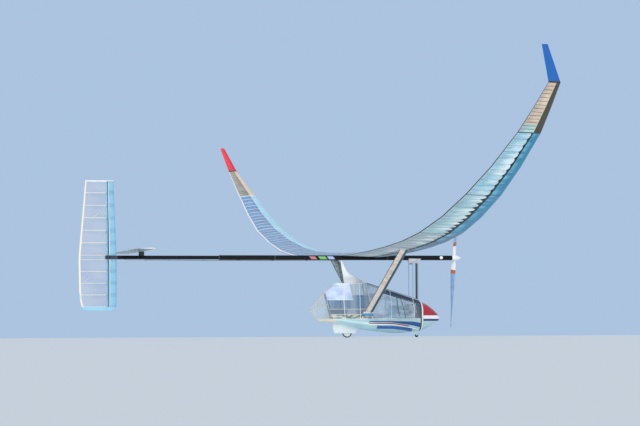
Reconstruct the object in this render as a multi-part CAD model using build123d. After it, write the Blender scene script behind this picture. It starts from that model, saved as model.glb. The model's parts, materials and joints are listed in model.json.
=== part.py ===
from build123d import *
from math import atan2, copysign, cos, dist, pi, radians, sin, sqrt, tan
import os

os.makedirs("parts", exist_ok=True)

# Human-powered aircraft: a strut-braced high wing on a long carbon boom, with a tractor
# propeller at the boom's nose, all-moving tail surfaces at its end, and a pod for one
# recumbent pilot hung below it on two pylons.
# Millimetres. +X is forward, +Y is to port and +Z is up. The origin is on the boom's axis
# where the wing's main spar crosses it.
# Skins are stretched between formers, so they are flat facets between like sections.

# Boom
boom_diameter = 110
boom_wall = 3
boom_nose_x = 1955
boom_joint_x = -900    # the boom comes apart here for transport
boom_collar = 100      # length of the collar round that joint
boom_collar_wall = 1
boom_step_x = -3550
boom_rear_diameter = 86
boom_rear_wall = 2.5
boom_rear_end_x = -5882
boom_socket_length = 240
boom_sleeve_wall = 4
fit_gap = 0.3          # a bonded or seated joint between two pieces
running_gap = 5        # least room between pieces that move past each other

# Ground line: both wheels stand on it
floor_z = -1830

# Wing. Each row is a place along one half of the wing.
# columns: name of the panel that ends here, y, z of the leading edge, x of the leading edge,
#          chord, dihedral of the bent spar in degrees, rib bays in the panel
wing_rows = [
    ("root", 0, 45, 380, 1060, 0.0, 0),
    ("centre", 1000, 50, 376, 1055, 0.8, 7),
    ("inner", 3900, 130, 352, 1030, 3.0, 10),
    ("mid", 6430, 340, 315, 950, 8.0, 9),
    ("outer", 9560, 975, 180, 745, 15.5, 11),
    ("end", 12450, 2000, 60, 460, 22.5, 11),
    ("tip", 14130, 2790, -110, 230, 26.0, 14),
]
rib_thickness = 6
end_rib_thickness = 12
gusset_panels = ("inner", "mid", "outer")    # the panels with gussets behind the nose box
gusset_reach = 0.10    # how far the gussets point aft of the leading edge's box, share of chord
gusset_width = 0.80    # their base as a share of the rib bay
gusset_thickness = 4
tail_strip_share = 0.955   # the trailing edge's strip starts here
rib_lap = 0.008            # the ribs' reach into that strip and into the nose box
rib_inset = 0.002          # how far the ribs stay below the skin, as a share of the chord
gusset_inset = 0.0006
tail_rib_inset = 0.02      # the same in the tail, as a share of the thickness
winglet_row = ("winglet", 14360, 3460, -425, 113, 71.5)
winglet_mitre = 48     # tilt of the seam between wing tip and winglet, degrees
spar_share = 0.36      # the main spar's place along the chord, where the nose box ends

# Struts, from the pod's side to the wing's underside
strut_chord = 195
strut_thickness = 48
strut_foot = (-35, 318, -1262)
strut_head_x = 25
strut_head_y = 3300
strut_fitting_rows = [ # columns: reach along the strut from its foot, chord, thickness
    (-90, 260, 110),
    (50, 215, 62),
]
strut_head_inset = 25  # the head is scribed into the wing by this much and trimmed to it

# Pod. Hull sections, bow last.
# columns: x, half width at the deck, z of the keel
deck_z = -1412
hull_rows = [
    (-1230, 26, -1444),
    (-760, 150, -1513),
    (-300, 235, -1629),
    (165, 280, -1691),
    (632, 285, -1730),
    (1130, 236, -1684),
]
hull_wall = 10
hull_bilge = 0.78      # depth of the round bilge as a share of the half width
bilge_flats = 8
oval_flats = 8

# Nose cone sections, tip last.
# columns: x, half width, z of the top, z of the bottom
nose_rows = [
    (1165, 230, -1004, -1680),
    (1325, 205, -1070, -1622),
    (1488, 150, -1190, -1548),
    (1590, 90, -1295, -1480),
    (1645, 30, -1372, -1412),
]
nose_wall = 8
nose_ring_x = 1130
nose_ring_top_z = -985
nose_ring_depth = 30

# Cabin sections above the deck, from the boat tail to the nose ring.
# columns: x at the bottom, z at the bottom, half width there,
#          x at the top, z at the top, half width there
cabin_rows = [
    (-928, deck_z, 112, -1087, -793, 88),
    (-760, deck_z, 150, -830, -588, 112),
    (-300, deck_z, 235, -300, -583, 150),
    (-10, deck_z, 264, -130, -578, 150),
    (430, deck_z, 284, 430, -742, 118),
    (nose_ring_x, deck_z, 236, nose_ring_x, -962, 92),
]
tail_cage_rows = [
    (-1277, deck_z, 24, -1227, -964, 60),
    (-1412, -1225, 14, -1412, -1165, 14),
]
cabin_shoulder = 0.58  # height of the shoulder as a share of the section's height
cabin_shoulder_width = 0.93
film_thickness = 3
panel_lower_z = -973   # lower edge of the opaque quarter panel
panel_front = ((-527, -588), (-457, panel_lower_z))
door_post = ((-165, -585), (0, deck_z))
cage_stick = 10        # square stringers of the boat tail
front_hoop = (770, 640)    # x at the deck and at the top of the frame ahead of the pilot's knees

# Frame of the pod
hoop_width = 22
hoop_depth = 16
seat_line = ((330, -1497), (75, -1560), (-60, -1500), (-322, -985))  # middle of the sheet, (x, z)
seat_bend = 70
seat_sheet = 8
seat_width = 330
seat_bar = 18

# Pylons between boom and pod
rear_pylon_top = (-738, -50)
rear_pylon_bottom = (-648, -586)
ladder_width = 52
ladder_tube = 12
ladder_rung = 7
ladder_pitch = 58
fairing_rows = [       # columns: z, x of the leading edge, chord, thickness
    (-75, -663, 44, 34),
    (-323, -525, 146, 50),
    (-422, -363, 300, 60),
    (-575, -131, 505, 84),
]
front_pylon_x = 1100
front_pylon_tube = 40
front_pylon_wall = 3
pylon_top_gap = 7      # from the boom's underside down to the front pylon's socket
gearbox_span = (905, 1205)
gearbox_width = 104
gearbox_top_z = -16
gearbox_foot = 18      # the housing's reach below the upper sprocket's axis

# Pedal drive
crank_x = 980
crank_z = -1240
crank_length = 165
crank_axle = 24
crank_arm_gap = 50     # from the middle to each arm's inner face
crank_arm_thickness = 12
bracket_shell = 44
bracket_length = 60
sprocket_drop = 53     # from the boom's underside down to the upper sprocket's axis
top_sprocket_z = -boom_diameter / 2 - sprocket_drop
chain_offset = 38      # sideways place of the chain
chain_radius = 50
chain_thickness = 7
chain_width = 9
chain_slot = 14        # width of the slot in the gearbox that the chain runs in
sprocket_thickness = 4
crank_arm_width = 22
crank_boss = 20        # radius of the arm's end on the axle
pedal_boss = 13
bracket_clamp = 54     # the bracket's clamp round the front pylon
bracket_clamp_height = 68
top_stub = 16
sprocket_flats = 28
boss_flats = 12
pedal_spindle = 10
pedal_side_gap = 3
pedal_window = 22
pedal_window_shift = 24
pedal_length = 78
pedal_depth = 84
pedal_thickness = 24

# Wheels
main_wheel_x = -557
main_wheel_radius = 115
main_tyre_section = 30
main_rim_width = 22
main_rim_inset = 18    # from the tyre's tread to the rim's edge, inside the tyre
main_rim_depth = 16
main_web_thickness = 6
main_hub = 40
main_hub_length = 38
wheel_flats = 32
main_axle = 12
tyre_flats = 8         # sides of the tyre's section
wheel_room_gap = 8     # from the tyre's tread to the edge of the opening that it turns in
wheel_side_gap = 6
wheel_fairing_rows = [  # columns: x of the leading edge, z, chord, thickness
    (-296, -1500, 592, 104),
    (-301, -1640, 582, 92),
    (-352, -1732, 500, 76),
]
nose_wheel_x = 1098
nose_wheel_radius = 40
nose_wheel_width = 18
nose_axle = 8
nose_fairing_rows = [  # columns: x of the leading edge, z, chord, thickness
    (1128, -1640, 215, 44),
    (1127, -1684, 196, 42),
    (1124, -1788, 62, 38),
]

# Tail
rudder_x = -6127       # pivot axis of the all-moving fin
rudder_rows = [        # columns: z, x of the leading edge, chord
    (-1189, -5965, 675),
    (-1110, -5912, 778),
    (-900, -5899, 846),
    (0, -5897, 862),
    (1734, -5970, 633),
]
rudder_thickness = 0.11
rudder_nose_share = 0.24
rudder_rib_pitch = 285
rudder_rib_span = (-3, 6)  # first and last rib, counted from the one at the boom's height
rudder_spar = 22
rudder_post = 30
rudder_sleeve = 140    # half the length of the round sleeve that turns in the block
rudder_block_height = 84   # fixed block at the boom's end that the fin's post turns in
rudder_block_tail = 30     # its reach behind the pivot axis
rudder_slot_tail = 55      # the fin's slot round it, behind the pivot axis
rudder_spigot = 150
stabilator_x = -5330
stabilator_z = 150
stabilator_rows = [    # columns: y, x of the leading edge, chord
    (45, -5216, 555),
    (1780, -5287, 420),
    (1850, -5330, 350),
]
stabilator_thickness = 0.09
stabilator_nose_share = 0.28
stabilator_bays = 6
stabilator_post = 22
tail_pylon_chord = 130
tail_pylon_thickness = 34

# Propeller
propeller_x = 2022
propeller_angle = 12   # the parked blades' lean, the lower one to starboard
propeller_shaft = 30
bearing_length = 70
shaft_tail = 40        # the shaft's reach behind its bearing
hub_length = 118
spinner_length = 98
spinner_tip = 5        # radius of the small flat at its tip
blade_axis_share = 0.35    # where the blade's own axis lies along its chord
blade_rows = [         # columns: radius, chord, thickness share, pitch in degrees
    (30, 56, 0.80, 60),
    (80, 62, 0.70, 60),
    (120, 96, 0.42, 58),
    (265, 116, 0.24, 54),
    (470, 122, 0.16, 46),
    (900, 97, 0.11, 29),
    (1350, 46, 0.10, 20),
    (1640, 20, 0.10, 17),
]

port, starboard = 1, -1
sides = (("left", port), ("right", starboard))

# Aerofoils as arcs: start, through and end points in shares of the chord (along, up), and the
# flats that each arc is cut into.
wing_foil = {
    "nose": ((0.017, -0.016), (0.0, 0.003), (0.015, 0.028), 4),
    "upper_front": ((0.015, 0.028), (0.16, 0.086), (0.36, 0.104), 4),
    "upper_rear": ((0.36, 0.104), (0.70, 0.066), (1.0, 0.005), 2),
    "lower_rear": ((1.0, -0.001), (0.70, -0.006), (0.36, -0.024), 1),
    "lower_front": ((0.36, -0.024), (0.14, -0.028), (0.017, -0.016), 2),
}
even_foil = {
    "nose": ((0.02, -0.19), (0.0, 0.0), (0.02, 0.19), 4),
    "upper_front": ((0.02, 0.19), (0.13, 0.42), (0.32, 0.50), 2),
    "upper_rear": ((0.32, 0.50), (0.68, 0.31), (1.0, 0.03), 2),
    "lower_rear": ((1.0, -0.03), (0.68, -0.31), (0.32, -0.50), 2),
    "lower_front": ((0.32, -0.50), (0.13, -0.42), (0.02, -0.19), 2),
}
nodes = {}


def between(low, high, share):
    return low + (high - low) * share


def mixed(one, other, share):
    """A tuple of values at a share of the way from one tuple to another."""
    return tuple(between(a, b, share) for a, b in zip(one, other))


def arc_points(start, through, end, flats):
    """Points along a circular arc given by three points in a plane."""
    (x1, y1), (x2, y2), (x3, y3) = start, through, end
    d = 2 * (x1 * (y2 - y3) + x2 * (y3 - y1) + x3 * (y1 - y2))
    s1, s2, s3 = x1 * x1 + y1 * y1, x2 * x2 + y2 * y2, x3 * x3 + y3 * y3
    cx = (s1 * (y2 - y3) + s2 * (y3 - y1) + s3 * (y1 - y2)) / d
    cy = (s1 * (x3 - x2) + s2 * (x1 - x3) + s3 * (x2 - x1)) / d
    radius = sqrt((x1 - cx) ** 2 + (y1 - cy) ** 2)
    first, middle, last = (atan2(y - cy, x - cx) for x, y in (start, through, end))
    turn = (last - first) % (2 * pi)
    if (middle - first) % (2 * pi) > turn:
        turn -= 2 * pi
    inner = [(cx + radius * cos(first + turn * i / flats), cy + radius * sin(first + turn * i / flats))
             for i in range(1, flats)]
    return [start, *inner, end]


def distinct(points):
    """A closed outline without points that follow themselves."""
    return [p for i, p in enumerate(points)
            if abs(p[0] - points[i - 1][0]) + abs(p[1] - points[i - 1][1]) > 1e-9]


def foil_outline(foil):
    return distinct([point for arc in foil.values() for point in arc_points(*arc)])


even_outline = foil_outline(even_foil)


def cut_outline(points, share, front):
    """The part of a closed outline ahead of, or behind, a share of the chord."""
    kept = []
    for one, other in zip(points, points[1:] + points[:1]):
        inside, next_inside = ((p[0] <= share) == front for p in (one, other))
        if inside:
            kept.append(one)
        if inside != next_inside:
            way = (share - one[0]) / (other[0] - one[0])
            kept.append((share, between(one[1], other[1], way)))
    return distinct(kept)


def rib_outline(outline, nose_share, inset):
    """A rib's outline, lapped into the nose box and the trailing edge's strip."""
    behind = cut_outline(outline, nose_share - rib_lap, False)
    plate = cut_outline(behind, tail_strip_share + rib_lap, True)
    return [(along, height - copysign(inset, height)) for along, height in plate]


def placed(station, point):
    """A point of a section in space; a station is its leading edge, its chord and its up."""
    start, along, up = station
    return start + along * point[0] + up * point[1]


def polygon(points):
    return Face(Wire.make_polygon([Vector(*p) for p in points], close=True))


def section_face(station, outline):
    return polygon([tuple(placed(station, point)) for point in outline])


def facet_solid(loops):
    """A solid of flat facets between like loops of points, closed by its first and last loop."""
    faces = [polygon(loops[0]), polygon(loops[-1])]
    for low, high in zip(loops, loops[1:]):
        for i in range(len(low)):
            a, b, c, d = low[i - 1], low[i], high[i], high[i - 1]
            if dist(a, c) > dist(b, d):
                a, b, c, d = b, c, d, a
            faces += [polygon([a, b, c]), polygon([a, c, d])]
    return Solid(Shell(faces))


def skin(outline, stations):
    """The solid that one outline sweeps between stations."""
    return facet_solid([[tuple(placed(one, point)) for point in outline] for one in stations])


def upright_station(x, z, chord, thickness):
    """A station of an upright fairing: chord aft, thickness sideways."""
    return (Vector(x, 0, z), Vector(-chord, 0, 0), Vector(0, thickness, 0))


def bar(start, end, diameter, bore=0):
    """A round bar or tube between two points."""
    start, end = Vector(*start), Vector(*end)
    along = Plane(origin=start, z_dir=end - start)
    low = (Align.CENTER, Align.CENTER, Align.MIN)
    solid = along * Cylinder(diameter / 2, (end - start).length, align=low)
    if bore:
        solid -= along * Cylinder(bore / 2, (end - start).length, align=low)
    return solid


def stick(start, end, width):
    """A square stick between two points, level on one pair of its sides."""
    way = Vector(*end) - Vector(*start)
    along = Plane(origin=start, x_dir=way.cross(Vector(0, 0, 1)), z_dir=way)
    return extrude(along * Rectangle(width, width), amount=way.length)


def turned(rows, sides):
    """A solid cut into flats round Z, from rows of place along Z and radius."""
    turns = [2 * pi * (i + 0.5) / sides for i in range(sides)]
    return facet_solid([[(radius * cos(turn), radius * sin(turn), z) for turn in turns]
                        for z, radius in rows])


def disc(radius, width, sides):
    return turned([(-width / 2, radius), (width / 2, radius)], sides)


def fused(pieces):
    """One solid from pieces that overlap."""
    pieces = list(pieces)
    return pieces[0].fuse(*pieces[1:]).clean() if len(pieces) > 1 else pieces[0]


def save(name, *solids):
    """Keeps the solids of one node."""
    kept = [s for shape in solids for s in shape.solids()]
    nodes[name] = kept


# Wing

def bent_height(low, high, share):
    """Height of the bent leading edge between two rows, with the rows' slopes at its ends."""
    run = high[1] - low[1]
    a, b = tan(radians(low[5])) * run, tan(radians(high[5])) * run
    s = share
    return (
        (2 * s**3 - 3 * s**2 + 1) * low[2] + (s**3 - 2 * s**2 + s) * a
        + (3 * s**2 - 2 * s**3) * high[2] + (s**3 - s**2) * b
    )


def wing_station(low, high, share, side, tilt=None):
    """The wing's section at a share of the way between two rows."""
    start = Vector(between(low[3], high[3], share), between(low[1], high[1], share) * side,
                   bent_height(low, high, share))
    chord = between(low[4], high[4], share)
    lean = radians(between(low[5], high[5], share) if tilt is None else tilt)
    return (start, Vector(-chord, 0, 0), Vector(0, -sin(lean) * side, cos(lean)) * chord)


def station_along(stations, share):
    """The section at a share of the way along evenly spaced stations."""
    spans = len(stations) - 1
    i = min(int(share * spans), spans - 1)
    return mixed(stations[i], stations[i + 1], share * spans - i)


def rib(station, outline, thickness, out):
    """A rib's plate, extruded from its section towards out."""
    normal = station[1].cross(station[2]).normalized()
    if normal.dot(out) < 0:
        normal = normal * -1
    return extrude(section_face(station, outline), amount=thickness, dir=tuple(normal))


def gusset(stations, share, half, outline):
    """A triangular plate on the lower surface that points aft from the nose box to a rib."""
    low = min(height for along, height in outline if abs(along - spar_share) < 1e-6)
    base = (spar_share - rib_lap, low + gusset_inset)
    tip = (spar_share + gusset_reach, low * (1 - gusset_reach / (1 - spar_share)) + gusset_inset)
    one, here, other = (station_along(stations, share + way) for way in (-half, 0, half))
    face = polygon([placed(one, base), placed(here, tip), placed(other, base)])
    return extrude(face, amount=gusset_thickness, dir=tuple(here[2].normalized()))


def panel_frame(stations, bays, gussets, closing=None):
    """A wing panel's bare frame: nose box, ribs, trailing edge strip and, if wanted, gussets."""
    outline = foil_outline(wing_foil)
    box = cut_outline(outline, spar_share, True)
    plate = rib_outline(outline, spar_share, rib_inset)
    strip = cut_outline(outline, tail_strip_share, False)
    ends = stations[:-1] + [closing or stations[-1]]
    pieces = [skin(part, ends) for part in (box, strip)]
    out = (stations[-1][0] - stations[0][0]).normalized()
    pieces.append(rib(ends[0], plate, end_rib_thickness, out))
    pieces.append(rib(ends[-1], plate, end_rib_thickness, out * -1))
    for i in range(1, bays):
        pieces.append(rib(station_along(stations, i / bays), plate, rib_thickness, out))
        if gussets:
            pieces.append(gusset(stations, i / bays, gusset_width / 2 / bays, outline))
    return fused(pieces)


def build_wing():
    root, first = wing_rows[0], wing_rows[1]
    stations = [wing_station(root, first, 1, starboard), wing_station(root, first, 0, port),
                wing_station(root, first, 1, port)]
    boom_room = bar((-2000, 0, 0), (2000, 0, 0), boom_diameter + 2 * fit_gap)
    save("wing_centre", panel_frame(stations, first[6], True) - boom_room)
    for word, side in sides:
        for low, high in zip(wing_rows[1:], wing_rows[2:]):
            stations = [wing_station(low, high, share, side) for share in (0, 0.5, 1)]
            closing = None
            if high[0] == "tip":
                closing = wing_station(low, high, 1, side, winglet_mitre)
            save(f"wing_{high[0]}_{word}",
                 panel_frame(stations, high[6], high[0] in gusset_panels, closing))
        tip = wing_rows[-1]
        _, y, z, x, chord, lean = winglet_row
        up = Vector(0, -sin(radians(lean)) * side, cos(radians(lean))) * chord
        save(f"winglet_{word}", skin(foil_outline(wing_foil), [
            wing_station(tip, tip, 0, side, winglet_mitre),
            (Vector(x, y * side, z), Vector(-chord, 0, 0), up)]))


def strut_line(side):
    """The strut's foot and head, and its own along, aft and up directions."""
    low, high = wing_rows[1], wing_rows[2]
    share = (strut_head_y - low[1]) / (high[1] - low[1])
    foot = Vector(strut_foot[0], strut_foot[1] * side, strut_foot[2])
    head = Vector(strut_head_x, strut_head_y * side, bent_height(low, high, share) + strut_head_inset)
    along = (head - foot).normalized()
    aft = (Vector(-1, 0, 0) - along * Vector(-1, 0, 0).dot(along)).normalized()
    return foot, head, along, aft, aft.cross(along)


def build_struts():
    low, high = wing_rows[1], wing_rows[2]
    for word, side in sides:
        foot, head, _, aft, up = strut_line(side)
        blade = skin(even_outline, [(end, aft * strut_chord, up * strut_thickness)
                                    for end in (foot, head)])
        panel = skin(foil_outline(wing_foil),
                     [wing_station(low, high, share, side) for share in (0, 0.5, 1)])
        save(f"strut_{word}", blade - panel)


# Boom

def build_boom():
    bore = boom_diameter - 2 * boom_wall
    collar_half = boom_collar / 2
    collar = bar((boom_joint_x - collar_half, 0, 0), (boom_joint_x + collar_half, 0, 0),
                 boom_diameter + 2 * boom_collar_wall, bore)
    front = bar((boom_joint_x + collar_half, 0, 0), (boom_nose_x, 0, 0), boom_diameter, bore)
    save("boom_front", fused([collar, front]))
    save("boom_middle", bar((boom_step_x, 0, 0), (boom_joint_x - collar_half, 0, 0), boom_diameter,
                            bore))
    rear_start = boom_step_x + boom_socket_length
    save("boom_rear", bar((boom_rear_end_x, 0, 0), (rear_start, 0, 0), boom_rear_diameter,
                          boom_rear_diameter - 2 * boom_rear_wall))
    outer = bore - 2 * fit_gap
    half = boom_socket_length / 2
    joiner = bar((boom_joint_x - half, 0, 0), (boom_joint_x + half, 0, 0), outer,
                 outer - 2 * boom_sleeve_wall)
    reducer = bar((boom_step_x, 0, 0), (rear_start, 0, 0), outer,
                  boom_rear_diameter + 2 * fit_gap)
    save("boom_sleeves", joiner, reducer)


# Pod

def hull_loop(row, top, grow=0.0):
    """A U-shaped section: upright sides and a round bilge."""
    x, half, keel = row[0], row[1] + grow, row[2] - grow
    side_end = keel + min(hull_bilge * half, 0.92 * (top - keel))
    bilge = arc_points((-half, side_end), (0, keel), (half, side_end), bilge_flats)
    return [(x, -half, top)] + [(x, y, z) for y, z in bilge] + [(x, half, top)]


def hull_solid(grow=0.0, top=deck_z):
    return facet_solid([hull_loop(row, top, grow) for row in hull_rows])


def build_hull():
    inner = hull_solid(-hull_wall, deck_z + 40)
    stern = Pos(hull_rows[0][0], 0, deck_z) * Box(90, 400, 400)
    save("hull", hull_solid() - (inner - stern) - wheel_room())


def oval_loop(x, half, top, bottom):
    """An upright oval: straight sides between two round ends."""
    rise = min(0.85 * half, 0.49 * (top - bottom))
    high, low = top - rise, bottom + rise
    over = arc_points((-half, high), (0, top), (half, high), oval_flats)
    under = arc_points((half, low), (0, bottom), (-half, low), oval_flats)
    return [(x, y, z) for y, z in over + under]


def nose_ring_block(grow):
    """The frame between cabin and nose cone as a solid block, grown or shrunk all round."""
    rear = (nose_ring_x, hull_rows[-1][1], nose_ring_top_z, hull_rows[-1][2])
    return facet_solid([oval_loop(x, half + grow, top + grow, bottom - grow)
                        for x, half, top, bottom in (rear, nose_rows[0])])


def build_nose():
    inner_rows = [(x - (0 if i == 0 else nose_wall), half - nose_wall, top - nose_wall,
                   bottom + nose_wall) for i, (x, half, top, bottom) in enumerate(nose_rows[:-1])]
    outer, inner = (facet_solid([oval_loop(*row) for row in rows]) for rows in (nose_rows, inner_rows))
    save("nose_cone", outer - inner)
    save("nose_ring", nose_ring_block(0) - nose_ring_block(-nose_ring_depth))


def cabin_points(row, inset):
    """Bottom, shoulder and top corner of one side of a cabin section, as (x, y, z)."""
    x0, z0, half0, x1, z1, half1 = row
    height = sqrt((x1 - x0) ** 2 + (z1 - z0) ** 2)
    points = []
    for share, half in ((0, half0), (cabin_shoulder, half0 * cabin_shoulder_width), (1, half1)):
        reach = share - inset / height if share == 1 else share
        points.append((between(x0, x1, reach), half - inset, between(z0, z1, reach)))
    return points


def band_loop(row, side):
    """One side wall of a cabin section, from the deck to the top corner."""
    outer, inner = (cabin_points(row, inset) for inset in (0, film_thickness))
    return [(x, y * side, z) for x, y, z in outer + inner[::-1]]


def top_loop(row):
    """The top of a cabin section, from corner to corner."""
    outer, inner = (cabin_points(row, inset)[2] for inset in (0, film_thickness))
    return [(x, y * side, z) for (x, y, z), side in ((outer, starboard), (outer, port), (inner, port),
                                                     (inner, starboard))]


def slanted_cut(line, ahead=True):
    """Everything ahead of, or behind, a slanted line in the side view."""
    (x0, z0), (x1, z1) = line
    reach = 3000
    grow = ((x1 - x0) / (z1 - z0))
    top, bottom = z0 + 800, z1 - 800
    xt, xb = x0 + grow * (top - z0), x1 + grow * (bottom - z1)
    far = reach if ahead else -reach
    face = polygon([(xt, -600, top), (xb, -600, bottom), (far, -600, bottom), (far, -600, top)])
    return extrude(face, amount=1200, dir=(0, 1, 0))


def build_cabin():
    above = Pos(0, 0, panel_lower_z + 500) * Box(6000, 2000, 1000)
    front_of_panel = slanted_cut(panel_front)
    front_of_post = slanted_cut(door_post)
    walls = [facet_solid([band_loop(row, side) for row in cabin_rows]) for _, side in sides]
    cabins = [wall - front_of_post for wall in walls]
    save("quarter_panels", *[(cabin & above) - front_of_panel for cabin in cabins])
    save("cabin_windows", *[cabin - (above - front_of_panel) for cabin in cabins])
    save("front_windows", *[wall & front_of_post for wall in walls])
    save("cabin_roof", facet_solid([top_loop(row) for row in cabin_rows[:4]]))
    slot = Pos(crank_x, 0, -950) * Box(2 * chain_radius + 40, 2 * chain_offset + 40, 400)
    hole = bar((front_pylon_x, 0, -1400), (front_pylon_x, 0, -700), front_pylon_tube + 2 * fit_gap)
    spine = facet_solid([top_loop(row) for row in cabin_rows[3:]])
    save("top_spine", spine - slot - hole)
    save("tail_window", cage_block(0) - cage_block(film_thickness))


def section_loop(row, inset):
    """Corners of a whole cabin section, starboard deck first, round to port deck."""
    port_side = cabin_points(row, inset)
    return [(x, -y, z) for x, y, z in port_side] + port_side[::-1]


def cage_block(inset):
    """The boat tail behind the cabin as a solid block."""
    return facet_solid([section_loop(row, inset) for row in [cabin_rows[0]] + tail_cage_rows])


def cabin_core(grow=0.0):
    """The cabin's outer shape as one solid block."""
    return facet_solid([section_loop(row, -grow) for row in cabin_rows])


def row_at(x_deck):
    """A cabin section between the table's rows, by where it meets the deck."""
    for low, high in zip(cabin_rows, cabin_rows[1:]):
        if low[0] <= x_deck <= high[0]:
            share = (x_deck - low[0]) / (high[0] - low[0])
            return tuple(between(a, b, share) for a, b in zip(low, high))
    return cabin_rows[-1]


def arch_frame(row):
    """A flat frame that follows a section inside the film and stands on the hull's rim."""
    raised = (row[0], row[1] + fit_gap) + tuple(row[2:])
    outer = section_loop(raised, film_thickness + fit_gap)
    inner = section_loop(raised, film_thickness + fit_gap + hoop_width)
    arch = extrude(polygon(outer + inner[::-1]), amount=hoop_depth, dir=(1, 0, 0))
    return arch & cabin_core(-film_thickness - fit_gap)


def build_frame():
    post = (door_post[1][0], deck_z, row_at(door_post[1][0])[2],
            door_post[0][0], door_post[0][1], cabin_rows[3][5])
    save("main_hoop", arch_frame(post))
    save("rear_hoop", arch_frame(cabin_rows[0]))
    low, high = (row_at(x) for x in front_hoop)
    save("front_hoop", arch_frame((*low[:3], *high[3:])))
    loops = [section_loop(row, film_thickness + fit_gap + cage_stick / 2)
             for row in [cabin_rows[0]] + tail_cage_rows]
    stringers = [stick(low[i], high[i], cage_stick) for low, high in zip(loops, loops[1:])
                 for i in range(len(low))]
    ring = [stick(loops[1][i - 1], loops[1][i], cage_stick) for i in range(len(loops[1]))]
    room = cage_block(film_thickness + fit_gap)
    save("tail_frame", fused([*stringers, *ring]) & room)


def seat_bar_at(low, high, share, inside):
    """A cross bar that the seat's sheet lies on, at a share of the way between two points."""
    x, z = between(low[0], high[0], share), between(low[1], high[1], share)
    run, rise = high[0] - low[0], high[1] - low[1]
    length = sqrt(run * run + rise * rise)
    reach = (seat_sheet + seat_bar) / 2 + fit_gap
    x, z = x - rise / length * reach, z + run / length * reach
    return bar((x, -400, z), (x, 400, z), seat_bar) & inside


def build_seat():
    path = FilletPolyline(*[Vector(x, z) for x, z in seat_line], radius=seat_bend)
    sheet = trace(path, seat_sheet)
    plane = Plane(origin=(0, seat_width / 2, 0), x_dir=(1, 0, 0), z_dir=(0, -1, 0))
    save("seat", extrude(plane * sheet, amount=seat_width))
    front = seat_bar_at(seat_line[0], seat_line[1], 0.3, hull_solid(-hull_wall - fit_gap))
    rear = seat_bar_at(seat_line[2], seat_line[3], 0.7, cabin_core(-film_thickness - fit_gap))
    save("seat_bars", front, rear)


def build_pylons():
    top, bottom = Vector(rear_pylon_top[0], 0, rear_pylon_top[1]), Vector(
        rear_pylon_bottom[0], 0, rear_pylon_bottom[1])
    along = (bottom - top).normalized()
    side = Vector(0, 1, 0).cross(along).normalized() * ((ladder_width - ladder_tube) / 2)
    pieces = []
    for rail_side in (side, side * -1):
        pieces.append(stick(top + rail_side, bottom + rail_side, ladder_tube))
    count = int((bottom - top).length // ladder_pitch)
    for i in range(1, count):
        middle = top + along * (i * ladder_pitch)
        pieces.append(stick(middle - side, middle + side, ladder_rung))
    ladder = fused(pieces)
    boom_room = bar((-2000, 0, 0), (2000, 0, 0), boom_diameter + 2 * fit_gap)
    ladder = (ladder - boom_room - nodes["cabin_roof"][0]).solids().sort_by(SortBy.VOLUME)[-1]
    save("rear_pylon_ladder", ladder)
    fairing = skin(even_outline, [upright_station(x, z, chord, thick)
                                  for z, x, chord, thick in fairing_rows])
    back = slanted_cut(((rear_pylon_top[0] + ladder_width / 2 + 1, rear_pylon_top[1]),
                        (rear_pylon_bottom[0] + ladder_width / 2 + 1, rear_pylon_bottom[1])))
    save("rear_pylon_fairing", (fairing & back) - nodes["cabin_roof"][0])
    low, high = gearbox_span
    bottom_z = top_sprocket_z - gearbox_foot
    outline = [(low, gearbox_top_z), (high, gearbox_top_z), (high - 30, (gearbox_top_z + bottom_z) / 2),
               (high - 75, bottom_z), (low + 15, bottom_z)]
    housing = extrude(polygon([(x, -gearbox_width / 2, z) for x, z in outline]),
                      amount=gearbox_width, dir=(0, 1, 0))
    socket_top = -boom_diameter / 2 - pylon_top_gap
    socket = bar((front_pylon_x, 0, -400), (front_pylon_x, 0, socket_top),
                 front_pylon_tube + 2 * fit_gap)
    reach = chain_radius + chain_thickness
    slot = Pos(crank_x, chain_offset, top_sprocket_z - 200 + reach / 2) * Box(
        2 * reach, chain_slot, 400 + reach)
    save("gearbox", housing - boom_room - socket - slot)
    tube = bar((front_pylon_x, 0, hull_rows[-1][2] + 5), (front_pylon_x, 0, socket_top - 1),
               front_pylon_tube, front_pylon_tube - 2 * front_pylon_wall)
    save("front_pylon", (tube - nodes["hull"][0]).solids().sort_by(Axis.Z)[-1])


def racetrack(radius, low_z, high_z, thickness, y):
    """An upright plate with round ends, in the plane of the chain."""
    plate = Pos(crank_x, y, (low_z + high_z) / 2) * Box(2 * radius, thickness, high_z - low_z)
    ends = [Pos(crank_x, y, z) * Rot(90, 0, 0) * Cylinder(radius, thickness)
            for z in (low_z, high_z)]
    return plate.fuse(*ends).clean()


def cross_disc(radius, width, x, y, z, sides):
    """A disc cut into flats whose axis runs across the aircraft."""
    return Pos(x, y, z) * Rot(90, 0, 0) * disc(radius, width, sides)


def cross_bar(x, z, y_low, y_high, diameter):
    return bar((x, y_low, z), (x, y_high, z), diameter)


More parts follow.
